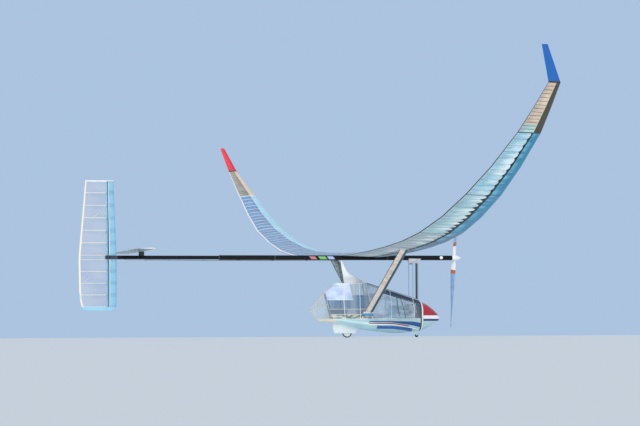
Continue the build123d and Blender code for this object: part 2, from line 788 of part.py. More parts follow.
def build_drive():
    half = chain_thickness / 2
    loop = (racetrack(chain_radius + half, crank_z, top_sprocket_z, chain_width, chain_offset)
            - racetrack(chain_radius - half, crank_z, top_sprocket_z, chain_width + 2,
                        chain_offset))
    save("chain", loop)
    sprocket_radius = chain_radius - half - 1
    sprocket, ring = (cross_disc(sprocket_radius, sprocket_thickness, crank_x, chain_offset, z,
                                 sprocket_flats) for z in (top_sprocket_z, crank_z))
    stub = cross_disc(top_stub / 2, chain_slot - 2 * fit_gap, crank_x, chain_offset, top_sprocket_z,
                      boss_flats)
    save("top_sprocket", fused([sprocket, stub]))

    shell = cross_disc(bracket_shell / 2, bracket_length, crank_x, 0, crank_z, boss_flats)
    clamp = Pos(front_pylon_x, 0, crank_z) * disc(bracket_clamp / 2, bracket_clamp_height, boss_flats)
    web = Pos((crank_x + front_pylon_x) / 2, 0, crank_z) * Box(front_pylon_x - crank_x, 26, 30)
    bore = cross_bar(crank_x, crank_z, -200, 200, crank_axle + 2 * fit_gap)
    pylon_bore = bar((front_pylon_x, 0, crank_z - 60), (front_pylon_x, 0, crank_z + 60),
                     front_pylon_tube + 2 * fit_gap)
    save("crank_bracket", fused([shell, clamp, web]) - bore - pylon_bore)

    arm_out = crank_arm_gap + crank_arm_thickness
    axle = cross_bar(crank_x, crank_z, -arm_out, arm_out, crank_axle)
    save("crank_axle", fused([axle, ring]))
    spindle_end = arm_out + pedal_side_gap + pedal_length
    arms = []
    for word, side in sides:
        tip_z = crank_z - crank_length * side
        y_mid = (crank_arm_gap + arm_out) / 2 * side
        ends = [cross_disc(radius, crank_arm_thickness, crank_x, y_mid, z, boss_flats)
                for radius, z in ((crank_boss, crank_z), (pedal_boss, tip_z))]
        arm_web = Pos(crank_x, y_mid, (crank_z + tip_z) / 2) * Box(
            crank_arm_width, crank_arm_thickness, crank_length)
        y_in, y_out = sorted((crank_arm_gap * side, spindle_end * side))
        spindle = cross_bar(crank_x, tip_z, y_in, y_out, pedal_spindle)
        arms.append(fused([*ends, arm_web, spindle]) - axle)
        y_mid = (arm_out + pedal_side_gap + pedal_length / 2) * side
        plate = Pos(crank_x, y_mid, tip_z) * Box(pedal_depth, pedal_length, pedal_thickness)
        windows = [Pos(crank_x + shift, y_mid, tip_z) * Box(
            pedal_window, pedal_length - pedal_window, 2 * pedal_thickness)
                   for shift in (-pedal_window_shift, pedal_window_shift)]
        hole = cross_bar(crank_x, tip_z, -300, 300, pedal_spindle + 2 * fit_gap)
        save(f"pedal_{word}", plate - windows - hole)
    save("crank_arms", *arms)


def tyre_ring(section):
    """The main wheel's tyre about Z, or the room it fills; its section is cut into flats."""
    middle = main_wheel_radius - main_tyre_section / 2
    turns = [pi * (i + 0.5) / (tyre_flats // 2) for i in range(tyre_flats // 2)]
    outer = [(-section * cos(turn), middle + section * sin(turn)) for turn in turns]
    inner = [(z, 2 * middle - radius) for z, radius in outer]
    inner = [(inner[0][0] - 1, inner[0][1]), *inner, (inner[-1][0] + 1, inner[-1][1])]
    return turned(outer, wheel_flats) - turned(inner, wheel_flats)


def wheel_room():
    """The room that the main wheel turns in."""
    z = floor_z + main_wheel_radius
    radius, width = main_wheel_radius + wheel_room_gap, main_tyre_section + 2 * wheel_side_gap
    room = cross_disc(radius, width, main_wheel_x, 0, z, wheel_flats)
    return room + Pos(main_wheel_x, 0, z - radius / 2) * Box(2 * radius, width, radius)


def build_wheels():
    z = floor_z + main_wheel_radius
    place = Pos(main_wheel_x, 0, z) * Rot(90, 0, 0)
    half = main_rim_width / 2
    rim_radius = main_wheel_radius - main_rim_inset
    rim = disc(rim_radius, main_rim_width, wheel_flats) - disc(
        rim_radius - main_rim_depth, 2 * main_rim_width, wheel_flats)
    web = disc(rim_radius - main_rim_depth / 2, main_web_thickness, wheel_flats)
    hub = disc(main_hub / 2, main_hub_length, boss_flats)
    axle_hole = bar((0, 0, -60), (0, 0, 60), main_axle + 2 * fit_gap)
    save("main_tyre", place * tyre_ring(main_tyre_section / 2))
    groove = tyre_ring(main_tyre_section / 2 + fit_gap)
    save("main_rim", place * (fused([rim, web, hub]) - groove - axle_hole))
    hull_block = hull_solid(fit_gap)
    cover = skin(even_outline, [upright_station(*row) for row in wheel_fairing_rows])
    axle = bar((main_wheel_x, -34, z), (main_wheel_x, 34, z), main_axle)
    axle_seat = bar((main_wheel_x, -34 - fit_gap, z), (main_wheel_x, 34 + fit_gap, z),
                    main_axle + 2 * fit_gap)
    save("main_wheel_fairing", cover - hull_block - wheel_room() - axle_seat)
    axles = [axle]

    z = floor_z + nose_wheel_radius
    half = nose_wheel_width / 2
    bevel = nose_wheel_width * 0.25
    wheel = turned([(-half, nose_wheel_radius - bevel), (bevel - half, nose_wheel_radius),
                    (half - bevel, nose_wheel_radius), (half, nose_wheel_radius - bevel)], wheel_flats)
    wheel = Pos(nose_wheel_x, 0, z) * Rot(90, 0, 0) * wheel
    wheel_hole = bar((nose_wheel_x, -60, z), (nose_wheel_x, 60, z), nose_axle + 2 * fit_gap)
    save("nose_wheel", wheel - wheel_hole)
    leg = skin(even_outline, [upright_station(*row) for row in nose_fairing_rows])
    arch = cross_disc(nose_wheel_radius + running_gap + 1, nose_wheel_width + 2 * running_gap,
                      nose_wheel_x, 0, z, wheel_flats)
    axle = bar((nose_wheel_x, -17, z), (nose_wheel_x, 17, z), nose_axle)
    save("nose_wheel_fairing", leg - hull_block - arch - axle)
    save("wheel_axles", *axles, axle)


def surface_frame(stations, places, measure, nose_share):
    """Bare frame of a tail surface: nose strip, ribs and trailing edge strip.
    The first or last span between stations is a solid bow."""
    out = (stations[-1][0] - stations[0][0]).normalized()
    plate = rib_outline(even_outline, nose_share, tail_rib_inset)
    pieces = [skin(cut_outline(even_outline, nose_share, True), stations),
              skin(cut_outline(even_outline, tail_strip_share, False), stations)]
    for low, high in zip(stations, stations[1:]):
        start, end = measure(low), measure(high)
        for place in places:
            if start <= place < end:
                one = mixed(low, high, (place - start) / (end - start))
                pieces.append(rib(one, plate, rib_thickness, out))
    return pieces


def build_tail():
    stations = [upright_station(x, z, chord, chord * rudder_thickness)
                for z, x, chord in rudder_rows]
    out = Vector(0, 0, 1)
    places = [i * rudder_rib_pitch for i in range(*rudder_rib_span)]
    pieces = surface_frame(stations, places, lambda one: one[0].Z, rudder_nose_share)
    pieces.append(skin(even_outline, stations[:2]))
    plate = rib_outline(even_outline, rudder_nose_share, tail_rib_inset)
    pieces.append(rib(stations[-1], plate, end_rib_thickness, out * -1))
    low_z, high_z = rudder_rows[1][0] - 20, rudder_rows[-1][0] - end_rib_thickness / 2
    spar = Pos(rudder_x, 0, (low_z + high_z) / 2) * Box(rudder_spar, rudder_spar, high_z - low_z)
    slot_half = rudder_block_height / 2 + running_gap
    slot = Pos(rudder_x - rudder_slot_tail + 500, 0, 0) * Box(1000, 400, 2 * slot_half)
    post = bar((rudder_x, 0, -rudder_sleeve), (rudder_x, 0, rudder_sleeve), rudder_post)
    save("rudder", fused([fused([*pieces, spar]) - slot, post]))
    block_half = rudder_block_height / 2
    band = Pos(rudder_x - rudder_block_tail + 500, 0, 0) * Box(1000, 400, 2 * block_half)
    spigot = bar((boom_rear_end_x + rudder_spigot, 0, 0), (rudder_x + 80, 0, 0),
                 boom_rear_diameter - 2 * boom_rear_wall - 2 * fit_gap)
    hole = bar((rudder_x, 0, -200), (rudder_x, 0, 200), rudder_post + 2 * fit_gap)
    save("rudder_block", fused([skin(even_outline, stations) & band, spigot & band]) - hole)

    halves = []
    for _, side in sides:
        stations = [(Vector(x, y * side, stabilator_z), Vector(-chord, 0, 0),
                     Vector(0, 0, chord * stabilator_thickness)) for y, x, chord in stabilator_rows]
        start, end = stabilator_rows[0][0], stabilator_rows[1][0]
        places = [between(start, end, i / stabilator_bays) for i in range(stabilator_bays)]
        halves += surface_frame(stations, places, lambda one: abs(one[0].Y), stabilator_nose_share)
        halves.append(skin(even_outline, stations[1:]))
    joiner = bar((stabilator_x, -start - 40, stabilator_z), (stabilator_x, start + 40, stabilator_z),
                 stabilator_post)
    save("stabilator", fused([*halves, joiner]))
    x = stabilator_x + tail_pylon_chord / 2
    pylon = skin(even_outline, [upright_station(x, z, tail_pylon_chord, tail_pylon_thickness)
                                for z in (0, stabilator_z + 26)])
    room = bar((boom_rear_end_x, 0, 0), (boom_step_x, 0, 0), boom_rear_diameter + 2 * fit_gap)
    hole = bar((stabilator_x, -200, stabilator_z), (stabilator_x, 200, stabilator_z),
               stabilator_post + 2 * fit_gap)
    save("stabilator_pylon", (pylon - room - hole).solids().sort_by(Axis.Z)[-1])


def blade_station(row, side):
    """A blade's section; side is 1 for the upper blade and -1 for the lower one."""
    radius, chord, thick, pitch = row
    out = Vector(0, 0, side)
    travel = Vector(-1, 0, 0).cross(out)
    beta = radians(pitch)
    lead = travel * cos(beta) + Vector(sin(beta), 0, 0)
    up = Vector(cos(beta), 0, 0) - travel * sin(beta)
    start = Vector(propeller_x, 0, 0) + out * radius + lead * (blade_axis_share * chord)
    return start, lead * -chord, up * (chord * thick)


def build_propeller():
    lean = Rot(propeller_angle, 0, 0)
    hub_start = boom_nose_x + running_gap
    blades = [skin(even_outline, [blade_station(row, side) for row in blade_rows])
              for side in (1, -1)]
    hub = Pos(hub_start + hub_length / 2, 0, 0) * Rot(0, 90, 0) * disc(
        boom_diameter / 2, hub_length, wheel_flats)
    save("propeller", lean * fused([hub, *blades]))
    end_x = boom_nose_x - bearing_length
    save("propeller_shaft", bar((end_x - shaft_tail, 0, 0), (hub_start, 0, 0), propeller_shaft))
    block = Pos((end_x + boom_nose_x) / 2, 0, 0) * Rot(0, 90, 0) * disc(
        boom_diameter / 2 - boom_wall - fit_gap, bearing_length, wheel_flats)
    save("nose_bearing", block - bar((end_x - 10, 0, 0), (boom_nose_x + 10, 0, 0),
                                     propeller_shaft + 2 * fit_gap))
    base, cap_x = boom_diameter / 2, hub_start + hub_length
    curve = arc_points((0, base), (0.42 * spinner_length, base * 0.69),
                       (spinner_length, spinner_tip), 4)
    save("spinner", Pos(cap_x, 0, 0) * Rot(0, 90, 0) * turned(curve, wheel_flats))


def build_strut_fittings():
    core = cabin_core(fit_gap)
    fittings = []
    for word, side in sides:
        foot, _, along, aft, up = strut_line(side)
        stations = []
        for reach, chord, thick in strut_fitting_rows:
            end = foot + along * reach - aft * ((chord - strut_chord) / 2)
            stations.append((end, aft * chord, up * thick))
        fittings.append(skin(even_outline, stations) - core - nodes[f"strut_{word}"][0])
    save("strut_fittings", *fittings)


build_boom()
build_wing()
build_struts()
build_hull()
build_nose()
build_cabin()
build_frame()
build_seat()
build_pylons()
build_drive()
build_wheels()
build_tail()
build_propeller()
build_strut_fittings()
for name, solids in nodes.items():
    shape = solids[0] if len(solids) == 1 else Compound(children=solids)
    export_step(shape, f"parts/{name}.step")
    print(name, len(solids), round(sum(s.volume for s in solids) / 1e6, 2), "litres")
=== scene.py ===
import json
import math

import bmesh
import bpy
from mathutils import Matrix, Vector

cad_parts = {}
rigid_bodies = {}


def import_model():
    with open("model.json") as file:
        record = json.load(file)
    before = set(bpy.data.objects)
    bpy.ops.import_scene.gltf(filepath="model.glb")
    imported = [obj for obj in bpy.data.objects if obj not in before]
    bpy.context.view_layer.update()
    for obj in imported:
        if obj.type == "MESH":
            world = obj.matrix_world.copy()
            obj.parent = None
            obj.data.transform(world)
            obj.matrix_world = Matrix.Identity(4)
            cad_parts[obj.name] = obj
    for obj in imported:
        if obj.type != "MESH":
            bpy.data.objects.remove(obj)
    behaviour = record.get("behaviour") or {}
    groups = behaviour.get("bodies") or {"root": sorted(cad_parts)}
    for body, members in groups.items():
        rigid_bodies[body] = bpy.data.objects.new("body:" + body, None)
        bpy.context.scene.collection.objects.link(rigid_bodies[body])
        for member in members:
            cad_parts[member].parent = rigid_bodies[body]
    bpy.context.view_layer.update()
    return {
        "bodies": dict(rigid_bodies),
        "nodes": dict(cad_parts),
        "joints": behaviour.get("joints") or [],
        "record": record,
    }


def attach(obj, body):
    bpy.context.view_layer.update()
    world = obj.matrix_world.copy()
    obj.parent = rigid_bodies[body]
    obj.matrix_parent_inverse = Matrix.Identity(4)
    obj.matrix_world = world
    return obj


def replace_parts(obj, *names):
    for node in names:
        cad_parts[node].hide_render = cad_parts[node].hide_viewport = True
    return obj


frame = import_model()
nodes = frame["nodes"]

# The photograph was taken from a few degrees below; here the camera stands at floor level.
cameraSetup = {
    "azimuth": 14.71,           # degrees round from the starboard side towards the tail
    "distance": 65.0,
    "height": -1.80,
    "lens": 159.0,
    "aimTurn": -1.01,           # degrees that the lens looks to the left of the middle
    "aimTilt": 2.5,             # and above the floor
    "roll": -0.3,
}


def makeCamera():
    turn = math.radians(cameraSetup["azimuth"])
    lens = bpy.data.cameras.new("camera")
    lens.lens = cameraSetup["lens"]
    lens.sensor_width = 36
    lens.clip_start = 0.1
    lens.clip_end = 1000
    camera = bpy.data.objects.new("camera", lens)
    camera.location = (-cameraSetup["distance"] * math.sin(turn), -cameraSetup["distance"] * math.cos(turn),
                       cameraSetup["height"])
    turn += math.radians(cameraSetup["aimTurn"])
    look = Vector((math.sin(turn), math.cos(turn), math.tan(math.radians(cameraSetup["aimTilt"]))))
    aim = look.to_track_quat("-Z", "Y").to_matrix()
    roll = Matrix.Rotation(math.radians(cameraSetup["roll"]), 3, "Z")
    camera.rotation_euler = (aim @ roll).to_euler()
    bpy.context.scene.collection.objects.link(camera)
    bpy.context.scene.camera = camera


makeCamera()
print("camera ready")

# Floor, world and lamps
studio = {
    "floorZ": -1.83,
    "floorSize": 600.0,
    "floorColour": (0.6, 0.66, 0.72, 1),
    "floorRough": 0.9,
    "floorGap": 0.0005,         # the floor lies this far below the wheels
    "backdropColour": (0.41, 0.55, 0.745, 1),
    "skyColour": (0.93, 0.96, 1, 1),
    "skyLight": 0.62,
    "lampSpread": 22.0,
    "lamps": {    # power and turn; the last is light off open ground, which the floor here would hide
        "keyLamp": (1.35, (35, -28, 0)),
        "fillLamp": (0.35, (62, 8, 0)),
        "belowLamp": (1.0, (140, 5, 0)),
    },
}


def makeStudio():
    world = bpy.data.worlds.new("studio")
    bpy.context.scene.world = world
    world.use_nodes = True
    tree = world.node_tree
    tree.nodes.clear()
    light = tree.nodes.new("ShaderNodeBackground")
    light.inputs["Color"].default_value = studio["skyColour"]
    light.inputs["Strength"].default_value = studio["skyLight"]
    seen = tree.nodes.new("ShaderNodeBackground")
    seen.inputs["Color"].default_value = studio["backdropColour"]
    path = tree.nodes.new("ShaderNodeLightPath")
    anyRay = path.outputs["Is Camera Ray"]
    for ray in ("Is Glossy Ray", "Is Transmission Ray"):
        either = tree.nodes.new("ShaderNodeMath")
        either.operation = "MAXIMUM"
        tree.links.new(anyRay, either.inputs[0])
        tree.links.new(path.outputs[ray], either.inputs[1])
        anyRay = either.outputs[0]
    blend = tree.nodes.new("ShaderNodeMixShader")
    out = tree.nodes.new("ShaderNodeOutputWorld")
    tree.links.new(anyRay, blend.inputs["Fac"])
    tree.links.new(light.outputs[0], blend.inputs[1])
    tree.links.new(seen.outputs[0], blend.inputs[2])
    tree.links.new(blend.outputs[0], out.inputs["Surface"])

    half = studio["floorSize"] / 2
    z = studio["floorZ"] - studio["floorGap"]
    mesh = bpy.data.meshes.new("floor")
    mesh.from_pydata([(-half, -half, z), (half, -half, z), (half, half, z), (-half, half, z)], [],
                     [(0, 1, 2, 3)])
    floor = bpy.data.objects.new("floor", mesh)
    bpy.context.scene.collection.objects.link(floor)
    paint = bpy.data.materials.new("floorPaint")
    paint.use_nodes = True
    face = paint.node_tree.nodes["Principled BSDF"]
    face.inputs["Base Color"].default_value = studio["floorColour"]
    face.inputs["Roughness"].default_value = studio["floorRough"]
    face.inputs["Specular IOR Level"].default_value = 0.1
    floor.data.materials.append(paint)
    floor.visible_shadow = False

    for name, (power, turn) in studio["lamps"].items():
        lamp = bpy.data.lights.new(name, "SUN")
        lamp.energy = power
        lamp.angle = math.radians(studio["lampSpread"])
        lampObject = bpy.data.objects.new(name, lamp)
        lampObject.rotation_euler = [math.radians(a) for a in turn]
        bpy.context.scene.collection.objects.link(lampObject)
    bpy.context.scene.view_settings.view_transform = "Standard"


makeStudio()
print("studio ready")


# Node tree helpers. A Value is an output in the tree that is being built; sums of Values make the nodes.
build = {"tree": None}


class Value:
    def __init__(self, socket):
        self.socket = socket

    def __add__(self, other):
        return calc("ADD", self, other)

    def __sub__(self, other):
        return calc("SUBTRACT", self, other)

    def __rsub__(self, other):
        return calc("SUBTRACT", other, self)

    def __mul__(self, other):
        return calc("MULTIPLY", self, other)

    def __truediv__(self, other):
        return calc("DIVIDE", self, other)


def newNode(kind):
    return build["tree"].nodes.new(kind)


def feed(socket, value):
    source = value.socket if isinstance(value, Value) else value
    if isinstance(source, bpy.types.NodeSocket):
        build["tree"].links.new(source, socket)
    else:
        socket.default_value = source


def calc(operation, *values, clamp=False):
    node = newNode("ShaderNodeMath")
    node.operation = operation
    node.use_clamp = clamp
    for socket, value in zip(node.inputs, values):
        feed(socket, value)
    return Value(node.outputs[0])


def blendColour(share, first, second):
    node = newNode("ShaderNodeMix")
    node.data_type = "RGBA"
    feed(node.inputs[0], share)
    feed(node.inputs[6], first)
    feed(node.inputs[7], second)
    return Value(node.outputs[2])


def rise(value, start, end):
    node = newNode("ShaderNodeMapRange")
    node.interpolation_type = "SMOOTHSTEP"
    feed(node.inputs["Value"], value)
    feed(node.inputs["From Min"], start)
    feed(node.inputs["From Max"], end)
    return Value(node.outputs[0])


def fall(value, start, end):
    return 1.0 - rise(value, start, end)


def within(value, low, high, soft):
    return rise(value, low - soft, low + soft) * fall(value, high - soft, high + soft)


def curveOf(value, rows):
    lows = [min(r[i] for r in rows) for i in (0, 1)]
    spans = [max(r[i] for r in rows) - lows[i] or 1.0 for i in (0, 1)]
    node = newNode("ShaderNodeFloatCurve")
    curve = node.mapping.curves[0]
    points = [((x - lows[0]) / spans[0], (y - lows[1]) / spans[1]) for x, y in rows]
    curve.points[0].location, curve.points[1].location = points[0], points[-1]
    for point in points[1:-1]:
        curve.points.new(*point)
    for point in curve.points:
        point.handle_type = "VECTOR"
    node.mapping.update()
    feed(node.inputs["Value"], calc("DIVIDE", value - lows[0], spans[0], clamp=True))
    return Value(node.outputs[0]) * spans[1] + lows[1]


def noise(vector, scale, detail=3.0, rough=0.55):
    node = newNode("ShaderNodeTexNoise")
    feed(node.inputs["Vector"], vector)
    node.inputs["Scale"].default_value = scale
    node.inputs["Detail"].default_value = detail
    node.inputs["Roughness"].default_value = rough
    return Value(node.outputs["Fac"])


def splitUp(vector):
    node = newNode("ShaderNodeSeparateXYZ")
    feed(node.inputs[0], vector)
    return [Value(output) for output in node.outputs]


def stretched(vector, scale):
    node = newNode("ShaderNodeMapping")
    feed(node.inputs["Vector"], vector)
    node.inputs["Scale"].default_value = scale
    return Value(node.outputs[0])


# Shared effects
def newGroup(name, inputs, outputs, kindOfTree="ShaderNodeTree"):
    group = bpy.data.node_groups.new(name, kindOfTree)
    for label, kind, value in inputs:
        socket = group.interface.new_socket(label, in_out="INPUT", socket_type="NodeSocket" + kind)
        if value is not None:
            socket.default_value = value
    for label, kind in outputs:
        group.interface.new_socket(label, in_out="OUTPUT", socket_type="NodeSocket" + kind)
    build["tree"] = group
    given = {output.name: Value(output) for output in newNode("NodeGroupInput").outputs}
    return group, given, newNode("NodeGroupOutput").inputs


def makeHandFinish():
    group, given, result = newGroup("handFinish", [
        ("Vector", "Vector", None), ("Colour", "Color", (1, 1, 1, 1)), ("Amount", "Float", 0.3),
        ("Scale", "Float", 3.0), ("Roughness", "Float", 0.4)],
        [("Colour", "Color"), ("Roughness", "Float"), ("Height", "Float")])
    scaled = newNode("ShaderNodeVectorMath")
    scaled.operation = "SCALE"
    feed(scaled.inputs[0], given["Vector"])
    feed(scaled.inputs["Scale"], given["Scale"])
    broad = noise(scaled.outputs[0], 1.0, 4.0)
    fine = noise(scaled.outputs[0], 23.0, 3.0)
    darker = blendColour(0.55, given["Colour"], (0.05, 0.05, 0.05, 1))
    share = rise(broad, 0.42, 0.75) * given["Amount"]
    worn = blendColour(share, given["Colour"], darker)
    dusty = rise(fine, 0.62, 0.72) * (given["Amount"] * 0.5)
    feed(result["Colour"], blendColour(dusty, worn, (0.62, 0.6, 0.56, 1)))
    rough = (broad - 0.5) * 0.35 + given["Roughness"]
    feed(result["Roughness"], calc("ADD", rough, 0.0, clamp=True))
    feed(result["Height"], fine)
    return group


def makeFoamBeads():
    group, given, result = newGroup("foamBeads", [
        ("Vector", "Vector", None), ("Colour", "Color", (1, 1, 1, 1)), ("Beads", "Float", 260.0)],
        [("Colour", "Color"), ("Height", "Float")])
    cells = newNode("ShaderNodeTexVoronoi")
    feed(cells.inputs["Vector"], given["Vector"])
    feed(cells.inputs["Scale"], given["Beads"])
    rim = rise(cells.outputs["Distance"], 0.35, 0.75)
    darker = blendColour(0.22, given["Colour"], (0.1, 0.12, 0.14, 1))
    feed(result["Colour"], blendColour(rim, given["Colour"], darker))
    feed(result["Height"], 1.0 - rim)
    return group


def makeCarbonWeave():
    group, given, result = newGroup("carbonWeave", [
        ("Vector", "Vector", None), ("Tows", "Float", 330.0), ("Light", "Float", 0.035)],
        [("Colour", "Color"), ("Roughness", "Float"), ("Height", "Float")])
    parts = splitUp(given["Vector"])
    around = parts[1] + parts[2]
    one, other = (calc("SINE", way * given["Tows"]) for way in (parts[0], around))
    tows = rise(one * other, -0.35, 0.35)
    shade = tows * (given["Light"] * 0.6) + given["Light"] * 0.4
    mixed = newNode("ShaderNodeCombineColor")
    for index, tint in enumerate((0.88, 0.96, 1.12)):
        feed(mixed.inputs[index], shade * tint)
    feed(result["Colour"], mixed.outputs[0])
    feed(result["Roughness"], tows * -0.12 + 0.38)
    feed(result["Height"], tows)
    return group


def makeFilmStretch():
    group, given, result = newGroup("filmStretch", [
        ("Vector", "Vector", None), ("Bays", "Float", 3.4), ("Seed", "Float", 0.0), ("Fine", "Float", 0.15)],
        [("Streak", "Float"), ("Height", "Float")])
    parts = splitUp(given["Vector"])
    joined = newNode("ShaderNodeCombineXYZ")
    feed(joined.inputs[0], parts[0] * given["Bays"])
    feed(joined.inputs[1], parts[1] * 1.3)
    feed(joined.inputs[2], given["Seed"])
    broad = noise(joined.outputs[0], 1.0, 1.0)
    fine = noise(joined.outputs[0], 4.2, 4.0, 0.65)
    feed(result["Streak"], rise(fine * given["Fine"] + broad, given["Fine"] * 0.5 + 0.38,
                                given["Fine"] * 0.5 + 0.66))
    feed(result["Height"], fine)
    return group


def makeNetting():
    group, given, result = newGroup("netting", [
        ("Vector", "Vector", None), ("Threads", "Float", 90.0), ("Width", "Float", 0.32)],
        [("Mask", "Float"), ("Height", "Float")])
    parts = splitUp(given["Vector"])
    lines = []
    for way in parts[:2]:
        place = calc("PINGPONG", way * given["Threads"], 0.5)
        lines.append(fall(place, 0.0, given["Width"]))
    thread = calc("MAXIMUM", *lines)
    feed(result["Mask"], rise(thread, 0.1, 0.35))
    feed(result["Height"], thread)
    return group


effects = {"finish": makeHandFinish(), "beads": makeFoamBeads(), "weave": makeCarbonWeave(),
           "stretch": makeFilmStretch(), "netting": makeNetting()}


def useEffect(name, **values):
    node = newNode("ShaderNodeGroup")
    node.node_tree = effects[name]
    for label, value in values.items():
        feed(node.inputs[label], value)
    return {output.name: Value(output) for output in node.outputs}


def newMaterial(name, rough=0.45, **fixed):
    material = bpy.data.materials.new(name)
    material.use_nodes = True
    build["tree"] = material.node_tree
    shader = material.node_tree.nodes["Principled BSDF"].inputs
    shader["Roughness"].default_value = rough
    for label, value in fixed.items():
        shader[label.replace("_", " ")].default_value = value
    return material, shader, Value(newNode("ShaderNodeTexCoord").outputs["Object"])


def addBump(shader, height, strength, distance):
    bump = newNode("ShaderNodeBump")
    bump.inputs["Strength"].default_value = strength
    bump.inputs["Distance"].default_value = distance
    feed(bump.inputs["Height"], height)
    feed(shader["Normal"], bump.outputs[0])


# Wear and dust over a colour; relief is the effect whose height makes the bumps, or None for the wear's.
def finishOver(shader, place, colour, amount, scale, rough, relief=None, strength=0.35, depth=0.0004):
    done = useEffect("finish", Vector=place, Colour=colour, Amount=amount, Scale=scale, Roughness=rough)
    feed(shader["Base Color"], done["Colour"])
    feed(shader["Roughness"], done["Roughness"])
    addBump(shader, (done if relief is None else relief)["Height"], strength, depth)


print("effects ready")


# Finishes that are one colour with wear, dust and a little relief
plainFinishes = {
    # name: colour, wear, scale, roughness, metallic
    "machinedAlloy": ((0.56, 0.58, 0.6, 1), 0.25, 18.0, 0.32, 1.0),
    "oiledSteel": ((0.26, 0.26, 0.28, 1), 0.45, 26.0, 0.38, 1.0),
    "wornRubber": ((0.022, 0.022, 0.024, 1), 0.25, 30.0, 0.72, 0.0),
    "wheelDisc": ((0.78, 0.79, 0.77, 1), 0.35, 14.0, 0.4, 0.0),
    "nylonBlack": ((0.03, 0.03, 0.034, 1), 0.3, 30.0, 0.5, 0.0),
    "tapeWhite": ((0.8, 0.84, 0.88, 1), 0.25, 9.0, 0.4, 0.0),
    "spinnerWhite": ((0.86, 0.87, 0.88, 1), 0.15, 10.0, 0.28, 0.0),
    "wingletBlue": ((0.006, 0.12, 0.44, 1), 0.12, 4.0, 0.3, 0.0),
    "wingletRed": ((0.72, 0.022, 0.045, 1), 0.12, 4.0, 0.3, 0.0),
}
finishes = {}
for finishName, (colour, wear, scale, rough, metallic) in plainFinishes.items():
    material, shader, place = newMaterial(finishName, rough, Metallic=metallic)
    finishOver(shader, place, colour, wear, scale, rough)
    finishes[finishName] = material


def makeCarbon(name, light, tows):
    material, shader, place = newMaterial(name, Coat_Weight=0.6, Coat_Roughness=0.12)
    cloth = useEffect("weave", Vector=place, Tows=tows, Light=light)
    feed(shader["Base Color"], cloth["Colour"])
    feed(shader["Roughness"], cloth["Roughness"])
    addBump(shader, cloth["Height"], 0.3, 0.0003)
    return material


def makeFoam(name, colour, beads, wear=0.2):
    material, shader, place = newMaterial(name, 0.7)
    grain = useEffect("beads", Vector=place, Colour=colour, Beads=beads)
    finishOver(shader, place, grain["Colour"], wear, 4.0, 0.62, grain, 0.4, 0.0008)
    return material


finishes["carbonTube"] = makeCarbon("carbonTube", 0.03, 700.0)
finishes["whiteFoam"] = makeFoam("whiteFoam", (0.82, 0.84, 0.85, 1), 240.0)
finishes["creamFoam"] = makeFoam("creamFoam", (0.72, 0.68, 0.56, 1), 240.0)
print("plain finishes ready")


# Shape helpers. Every length below is in millimetres and becomes metres in the mesh.
def between(low, high, share):
    return low + (high - low) * share


def arcThrough(start, through, end, count):
    (x1, y1), (x2, y2), (x3, y3) = start, through, end
    d = 2 * (x1 * (y2 - y3) + x2 * (y3 - y1) + x3 * (y1 - y2))
    s1, s2, s3 = x1 * x1 + y1 * y1, x2 * x2 + y2 * y2, x3 * x3 + y3 * y3
    cx = (s1 * (y2 - y3) + s2 * (y3 - y1) + s3 * (y1 - y2)) / d
    cy = (s1 * (x3 - x2) + s2 * (x1 - x3) + s3 * (x2 - x1)) / d
    radius = math.hypot(x1 - cx, y1 - cy)
    first, middle, last = (math.atan2(y - cy, x - cx) for x, y in (start, through, end))
    turn = (last - first) % (2 * math.pi)
    if (middle - first) % (2 * math.pi) > turn:
        turn -= 2 * math.pi
    angles = [first + turn * i / count for i in range(1, count)]
    return [start, *((cx + radius * math.cos(a), cy + radius * math.sin(a)) for a in angles), end]


def plainStretch(start, end, count):
    return [tuple(between(a, b, i / count) for a, b in zip(start, end)) for i in range(count + 1)]


def wingCurve(upperCount=12, noseCount=10, lowerCount=8):
    nose = arcThrough((0.017, -0.016), (0.0, 0.003), (0.015, 0.028), noseCount)
    upper = arcThrough((0.015, 0.028), (0.16, 0.086), (0.36, 0.104), upperCount)
    rear = arcThrough((0.36, 0.104), (0.70, 0.066), (1.0, 0.005), upperCount)
    lower = plainStretch((1.0, -0.001), (0.36, -0.024), upperCount)
    front = arcThrough((0.36, -0.024), (0.14, -0.028), (0.017, -0.016), lowerCount)
    return {"nose": nose, "upper": upper, "rear": rear, "lower": lower, "front": front}


def evenCurve(count=10, noseCount=8):
    nose = arcThrough((0.02, -0.19), (0.0, 0.0), (0.02, 0.19), noseCount)
    upper = arcThrough((0.02, 0.19), (0.13, 0.42), (0.32, 0.50), count)
    rear = arcThrough((0.32, 0.50), (0.68, 0.31), (1.0, 0.03), count)
    under = [(x, -y) for x, y in reversed(rear)]
    front = [(x, -y) for x, y in reversed(upper)]
    return {"nose": nose, "upper": upper, "rear": rear, "lower": under, "front": front}


samePoint = 1e-7    # points of an outline that are nearer than this are one


def joinedPoints(*runs):
    points = []
    for run in runs:
        points += [p for p in run if not points or math.dist(p, points[-1]) > samePoint]
    return points


# The same outline, moved outwards by a share of the chord.
def grownPoints(points, share, closed=False):
    grown = []
    for i, (x, y) in enumerate(points):
        before = points[i - 1] if closed or i else points[0]
        after = points[(i + 1) % len(points)] if closed or i + 1 < len(points) else points[-1]
        dx, dy = after[0] - before[0], after[1] - before[1]
        run = math.hypot(dx, dy)
        grown.append((x - dy / run * share, y + dx / run * share))
    return grown


